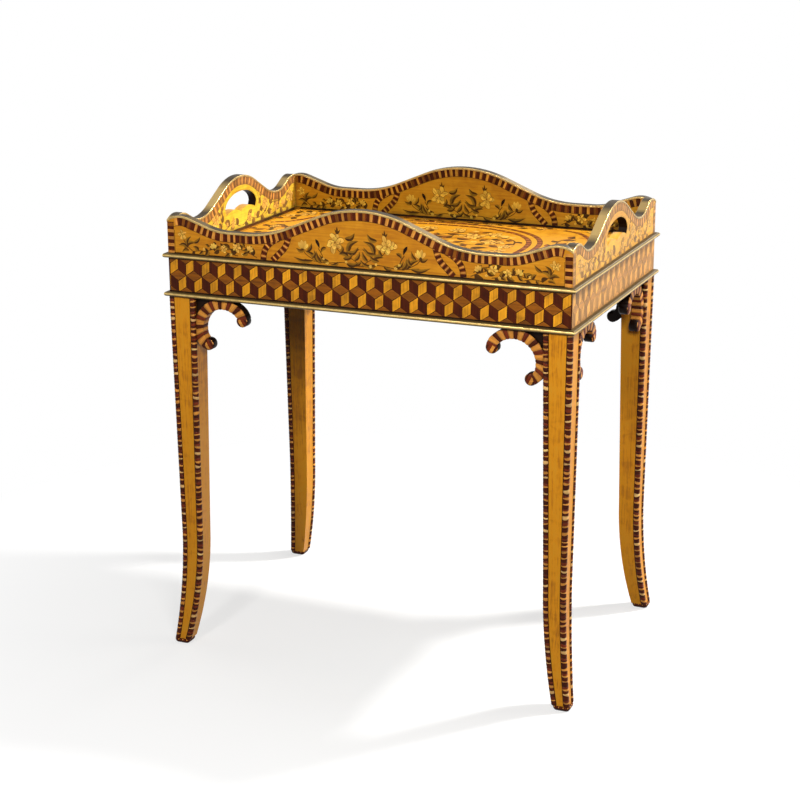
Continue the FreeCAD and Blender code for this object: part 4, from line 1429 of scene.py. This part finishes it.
def floor_quarter(pen):
    """Spray in one quarter of the oval."""
    pen.sprigs(0.5, 2.6, (((8, 18), (32, 46), (64, 60), (98, 56)), 27),
               (((20, 10), (52, 20), (86, 12), (122, 24)), 25),
               (((6, 36), (12, 72), (40, 98), (78, 104)), 25),
               (((92, 60), (120, 76), (140, 62), (148, 34)), 20))
    for u, w, size, count in ((62, 76, 21, 6), (112, 44, 20, 6), (26, 112, 17, 5),
                              (94, 98, 16, 5), (140, 18, 14, 5)):
        pen.flower(u, w, size, count, u, 0.11)
    pen.tulip(106, 84, 0.6 * pen.way + (0 if pen.side > 0 else math.pi), 18)
    pen.blossoms((46, 30, 6.0), (82, 34, 6.0), (56, 114, 6.0), (128, 88, 6.0))


def floor_corner(pen):
    """Spray in a corner of the tray outside the oval."""
    pen.sprigs(0.48, 2.2, (((292, 176), (268, 150), (272, 118), (292, 96)), 24),
               (((288, 178), (262, 178), (236, 164)), 20),
               (((172, 178), (132, 171), (92, 178)), 16),
               (((82, 173), (44, 178), (8, 172)), 15))
    for u, w, size, count, turn in ((262, 150, 17, 6, 0.3), (286, 128, 12, 5, 0.9),
                                    (150, 173, 9, 5, 0.2), (60, 175, 8, 5, 0.6)):
        pen.flower(u, w, size, count, turn, 0.11)
    pen.blossoms((230, 176, 6))


def floor_end(veneers, side):
    """Spray in the space between the oval and an end."""
    for pen in (Spray(veneers, side, way) for way in (-1, 1)):
        pen.sprigs(0.5, 2.4, (((228, 6), (246, 30), (234, 60)), 22),
                   (((204, 14), (208, 52), (206, 92), (222, 118)), 21),
                   (((258, 12), (276, 30), (270, 54)), 19))
        pen.flower(232, 80, 14, 6, 0.4, 0.14)
        pen.flower(266, 38, 10, 5, 1.1, 0.14)
    pen = Spray(veneers, side)
    pen.flower(240, 0, 18, 6, 0.2, 0.11)
    pen.sprigs(0.5, 2.4, (((254, 0), (274, 8), (292, 2)), 18))


# ---- finishes of the frame's own solids
def finish_nodes(names, material):
    """Gives every slot of some frame nodes one material."""
    for name in names:
        mesh = nodes[name].data
        if not mesh.materials:
            mesh.materials.append(material)
        for index in range(len(mesh.materials)):
            mesh.materials[index] = material


# ---- stage
FLOOR = (-4.0, 4.0, -0.95, 8.0)             # its left, right, near and far edge
CAMERA_PLACE = (1.07923, -2.58110, 1.22260)
CAMERA_ANGLES = (23.27, 16.60, -0.33)       # yaw, pitch and roll in degrees
SENSOR = 36.0
FOCAL_SHARE = 1810.7 / 800.0                # focal length over the width of the view

# Near lamps: name, place, radius, level, and the reach of one that isn't the same all over.
NEAR_LAMPS = (("key", (1.13, 0.80, 2.34), 0.12, 1.25),
              ("front", (-0.20, -1.45, 1.28), 0.09, 0.38, 1.5))

# Soft boxes: name, place, point faced, width, energy, and the long side of a strip.
SOFT_BOXES = (("near", (0.95, -1.70, 1.37), (0.0, 0.0, 0.5), 0.4, 23.0),
              ("side", (1.7, 0.75, 0.72), (0.2, 0.0, 0.25), 1.0, 18.0),
              ("back", (0.35, 3.4, 2.35), (0.1, 0.0, 0.7), 1.2, 22.0),
              ("top", (-0.52, 0.05, 2.70), (0.2, 0.0, 0.7), 0.6, 8.0, 1.5))


def seeing(tree, rays):
    """One for rays that see the background: straight, off metal or through glass."""
    seen = maths(tree, "MAXIMUM", rays["Is Camera Ray"], rays["Is Transmission Ray"])
    return maths(tree, "MAXIMUM", seen, rays["Is Glossy Ray"])


def blended(tree, out, share, first, second):
    """Feeds an output with a blend of two shaders."""
    blend = add(tree, "MixShader", {0: share, 1: first.outputs[0], 2: second.outputs[0]})
    feed(tree, tree.nodes[out].inputs["Surface"], blend.outputs[0])


def studio_floor(colours):
    """White floor that keeps the table's soft shadow."""
    left, right, near, far = FLOOR
    mesh = bpy.data.meshes.new("studio_floor")
    mesh.from_pydata([(left, near, 0), (right, near, 0), (right, far, 0), (left, far, 0)], [],
                     [(0, 1, 2, 3)])
    floor = linked("studio_floor", mesh)
    material, tree, shader = new_material("studio_floor")
    place = object_place(tree)
    rays = add(tree, "LightPath").outputs
    mottle = ranged(tree, noise(tree, place, (3, 3, 3), 3.0), 0.3, 0.7)
    paint = mixed(tree, mottle, varied(colours.floor, 0.97), colours.floor)
    feed(tree, shader.inputs["Base Color"],
         mixed(tree, rays["Is Diffuse Ray"], paint, varied(colours.floor, 0.02)))
    set_inputs(shader, Roughness=0.9, Specular_IOR_Level=0.0)
    glow = add(tree, "Emission", {"Color": (1, 1, 1, 1), "Strength": 1.0})
    away = add(tree, "VectorMath", {0: place}, operation="LENGTH").outputs["Value"]
    share = product(tree, seeing(tree, rays), ranged(tree, away, 0.3, 1.05, 0.6, 1.0))
    blended(tree, "Material Output", share, shader, glow)
    mesh.materials.append(material)


def studio_world():
    """Faint light all round, white where the camera sees it."""
    world = bpy.data.worlds.new("studio")
    bpy.context.scene.world = world
    world.use_nodes = True
    tree = world.node_tree
    light = tree.nodes["Background"]
    set_inputs(light, Color=(1.0, 0.99, 0.97, 1.0), Strength=0.014)
    white = add(tree, "Background", {"Color": (1, 1, 1, 1), "Strength": 1.0})
    blended(tree, "World Output", seeing(tree, add(tree, "LightPath").outputs), light, white)


def lamp_at(name, kind, place, energy):
    """Warm white lamp at a place."""
    lamp = bpy.data.lights.new(name, kind)
    lamp.energy = energy
    lamp.color = (1.0, 0.985, 0.95)
    holder = linked(name, lamp)
    holder.location = place
    return holder, lamp


def near_lamp(name, place, radius, level, reach=None):
    """Lamp whose light, at its reach or everywhere, shows a facing white at this level."""
    _, lamp = lamp_at(name, "POINT", place, 4 * math.pi ** 2 * level * (reach or 1.0) ** 2)
    lamp.shadow_soft_size = radius
    if reach is None:
        lamp.use_nodes = True
        tree = lamp.node_tree
        even = add(tree, "LightFalloff", {"Strength": 1.0}).outputs["Constant"]
        feed(tree, tree.nodes["Emission"].inputs["Strength"], even)


def soft_box(name, place, aim, size, energy, long=None):
    """Square light facing a point, or a strip with its long side towards it."""
    holder, lamp = lamp_at(name, "AREA", place, energy)
    lamp.shape = "RECTANGLE"
    lamp.size, lamp.size_y = size, long or size
    way = Vector(aim) - Vector(place)
    holder.rotation_euler = way.to_track_quat("-Z", "Y").to_euler()


def studio_camera():
    """Camera at the viewing angle."""
    yaw, pitch, roll = map(math.radians, CAMERA_ANGLES)
    view = Vector((-math.sin(yaw) * math.cos(pitch), math.cos(yaw) * math.cos(pitch),
                   -math.sin(pitch)))
    right = Vector((math.cos(yaw), math.sin(yaw), 0.0))
    up = right.cross(view)
    axes = Matrix((right * math.cos(roll) + up * math.sin(roll),
                   up * math.cos(roll) - right * math.sin(roll), -view))
    data = bpy.data.cameras.new("camera")
    data.sensor_width = SENSOR
    data.lens = SENSOR * FOCAL_SHARE
    data.clip_end = 200.0
    camera = linked("camera", data)
    camera.matrix_world = Matrix.Translation(CAMERA_PLACE) @ axes.transposed().to_4x4()
    bpy.context.scene.camera = camera
    bpy.context.scene.view_settings.view_transform = "Standard"


# ---- operators
class TEATABLE_OT_frieze(bpy.types.Operator):
    """Lays the tumbling-block parquetry round the frieze"""
    bl_idname = "teatable.frieze"
    bl_label = "Frieze parquetry"

    def execute(self, context):
        scene = context.scene
        for quarters, name in enumerate(SIDES):
            frieze_side(name, quarters, side_palette(scene.teatable_colours, quarters),
                        scene.teatable_sizes)
        return {"FINISHED"}


class TEATABLE_OT_legs(bpy.types.Operator):
    """Polishes the legs and sets in their banded beads, lines and toes"""
    bl_idname = "teatable.legs"
    bl_label = "Legs, beads and toes"

    def execute(self, context):
        colours = context.scene.teatable_colours
        woods = palette(colours)
        panel = wood("satinwood_leg", colours.leg_wood, colours.satin_deep, colours.satin_pale,
                     grain=2, mottle=0.36)
        finish_nodes(["leg_" + name for name in CORNERS], panel)
        for quarters, name in enumerate(CORNERS):
            for build in (leg_beads, leg_lines, toe):
                build(name, quarters, woods, context.scene.teatable_sizes)
        return {"FINISHED"}


class TEATABLE_OT_scrolls(bpy.types.Operator):
    """Builds the eight C-scrolls of wedges"""
    bl_idname = "teatable.scrolls"
    bl_label = "Scroll brackets"

    def execute(self, context):
        woods = palette(context.scene.teatable_colours)
        for quarters, name in enumerate(CORNERS):
            for swap in (False, True):
                scroll("wedges_%s_%d" % (name, swap), quarters, swap, woods,
                       context.scene.teatable_sizes)
        return {"FINISHED"}


class TEATABLE_OT_gallery(bpy.types.Operator):
    """Polishes the gallery boards and inlays both faces of each"""
    bl_idname = "teatable.gallery"
    bl_label = "Gallery marquetry"

    def execute(self, context):
        colours, sizes = context.scene.teatable_colours, context.scene.teatable_sizes
        # inner paints the insides: painted shade on the long boards, painted light on the ends.
        boards = (wood("satinwood_long", colours.satinwood, colours.satin_deep,
                       colours.satin_pale, grain=0, inner=INSIDE_SHADE),
                  wood("satinwood_end", colours.end_wood, colours.satinwood, grain=1,
                       inner=END_INSIDE_LIGHT))
        for quarters, name in enumerate(SIDES):
            finish_nodes(["gallery_" + name], boards[quarters % 2])
            for inner in (False, True):
                gallery_face(name, quarters, inner, side_palette(colours, quarters, inner),
                             sizes)
            if quarters % 2:
                hand_hold_edge(name, quarters, palette(colours), sizes)
        return {"FINISHED"}


class TEATABLE_OT_tray_floor(bpy.types.Operator):
    """Polishes the tray's floor and inlays its oval, sprays and border"""
    bl_idname = "teatable.tray_floor"
    bl_label = "Tray floor marquetry"

    def execute(self, context):
        colours = context.scene.teatable_colours
        field = wood("satinwood_tray", colours.field, colours.satin_deep, colours.satin_pale,
                     grain=0, gloss=0.25)
        finish_nodes(["tray_floor"], field)
        tray_marquetry(palette(colours), context.scene.teatable_sizes)
        return {"FINISHED"}


class TEATABLE_OT_brass(bpy.types.Operator):
    """Finishes the brass beads, cappings and pins in aged brass with painted light"""
    bl_idname = "teatable.brass"
    bl_label = "Brass"

    def execute(self, context):
        colours = context.scene.teatable_colours
        # The last value is how bright the upward slopes are painted: painted highlight.
        brass = metal("aged_brass", colours.brass, colours.tarnish, 0.26, 0.18)
        capping = metal("aged_capping", colours.capping, varied(colours.tarnish, 0.5), 0.2, 0.9)
        finish_nodes(["gallery_cap_" + name for name in SIDES], capping)
        finish_nodes([bead + name for bead in ("lower_bead_", "upper_bead_") for name in SIDES]
                     + ["bead_pins", "cap_pins"], brass)
        return {"FINISHED"}


class TEATABLE_OT_carcase(bpy.types.Operator):
    """Finishes the rails, braces, bearers, dowels, keys and screws"""
    bl_idname = "teatable.carcase"
    bl_label = "Carcase and fixings"

    def execute(self, context):
        colours = context.scene.teatable_colours
        for name, plain, grain, pieces in (
                ("carcase_0", colours.carcase, 0, ["rail_front", "rail_back"]),
                ("carcase_1", colours.carcase, 1, ["rail_right", "rail_left", "bearer_left",
                                                   "bearer_right"]),
                ("carcase_brace", colours.carcase, 2,
                 ["corner_brace_" + corner for corner in CORNERS]),
                ("dowel_wood", colours.dowel, 2, ["scroll_dowels"]),
                ("key_wood", colours.dowel, 0, ["gallery_splines"])):
            finish_nodes(pieces, wood(name, plain, grain=grain))
        steel = metal("screw_steel", colours.steel, varied(colours.steel, 0.4), 0.34, 0.7)
        finish_nodes(["floor_screws", "brace_screws"], steel)
        return {"FINISHED"}


class TEATABLE_OT_stage(bpy.types.Operator):
    """Sets up the floor, lamps, world and camera"""
    bl_idname = "teatable.stage"
    bl_label = "Stage"

    def execute(self, context):
        studio_floor(context.scene.teatable_colours)
        studio_world()
        for lamp in NEAR_LAMPS:
            near_lamp(*lamp)
        for lamp in SOFT_BOXES:
            soft_box(*lamp)
        studio_camera()
        return {"FINISHED"}


class TEATABLE_PT_panel(bpy.types.Panel):
    """Lists the table's pieces and their settings"""
    bl_label = "Tea table"
    bl_idname = "TEATABLE_PT_panel"
    bl_space_type = "VIEW_3D"
    bl_region_type = "UI"
    bl_category = "Tea table"

    def draw(self, context):
        for operator in OPERATORS:
            self.layout.operator(operator.bl_idname)
        for settings in (context.scene.teatable_sizes, context.scene.teatable_colours):
            box = self.layout.box()
            for key in settings.__annotations__:
                box.prop(settings, key)


OPERATORS = (TEATABLE_OT_frieze, TEATABLE_OT_legs, TEATABLE_OT_scrolls, TEATABLE_OT_gallery,
             TEATABLE_OT_tray_floor, TEATABLE_OT_brass, TEATABLE_OT_carcase, TEATABLE_OT_stage)
CLASSES = (TeaTableSizes, TeaTableColours, *OPERATORS, TEATABLE_PT_panel)


def register():
    """Adds the classes and the scene's settings."""
    for item in CLASSES:
        bpy.utils.register_class(item)
    bpy.types.Scene.teatable_sizes = PointerProperty(type=TeaTableSizes)
    bpy.types.Scene.teatable_colours = PointerProperty(type=TeaTableColours)


def unregister():
    """Takes them out again."""
    del bpy.types.Scene.teatable_colours
    del bpy.types.Scene.teatable_sizes
    for item in reversed(CLASSES):
        bpy.utils.unregister_class(item)


def main():
    """Registers the classes and builds every piece in order."""
    register()
    bpy.ops.teatable.frieze()
    bpy.ops.teatable.legs()
    bpy.ops.teatable.scrolls()
    bpy.ops.teatable.gallery()
    bpy.ops.teatable.tray_floor()
    bpy.ops.teatable.brass()
    bpy.ops.teatable.carcase()
    bpy.ops.teatable.stage()
    bpy.context.view_layer.update()


if __name__ == "__main__":
    main()
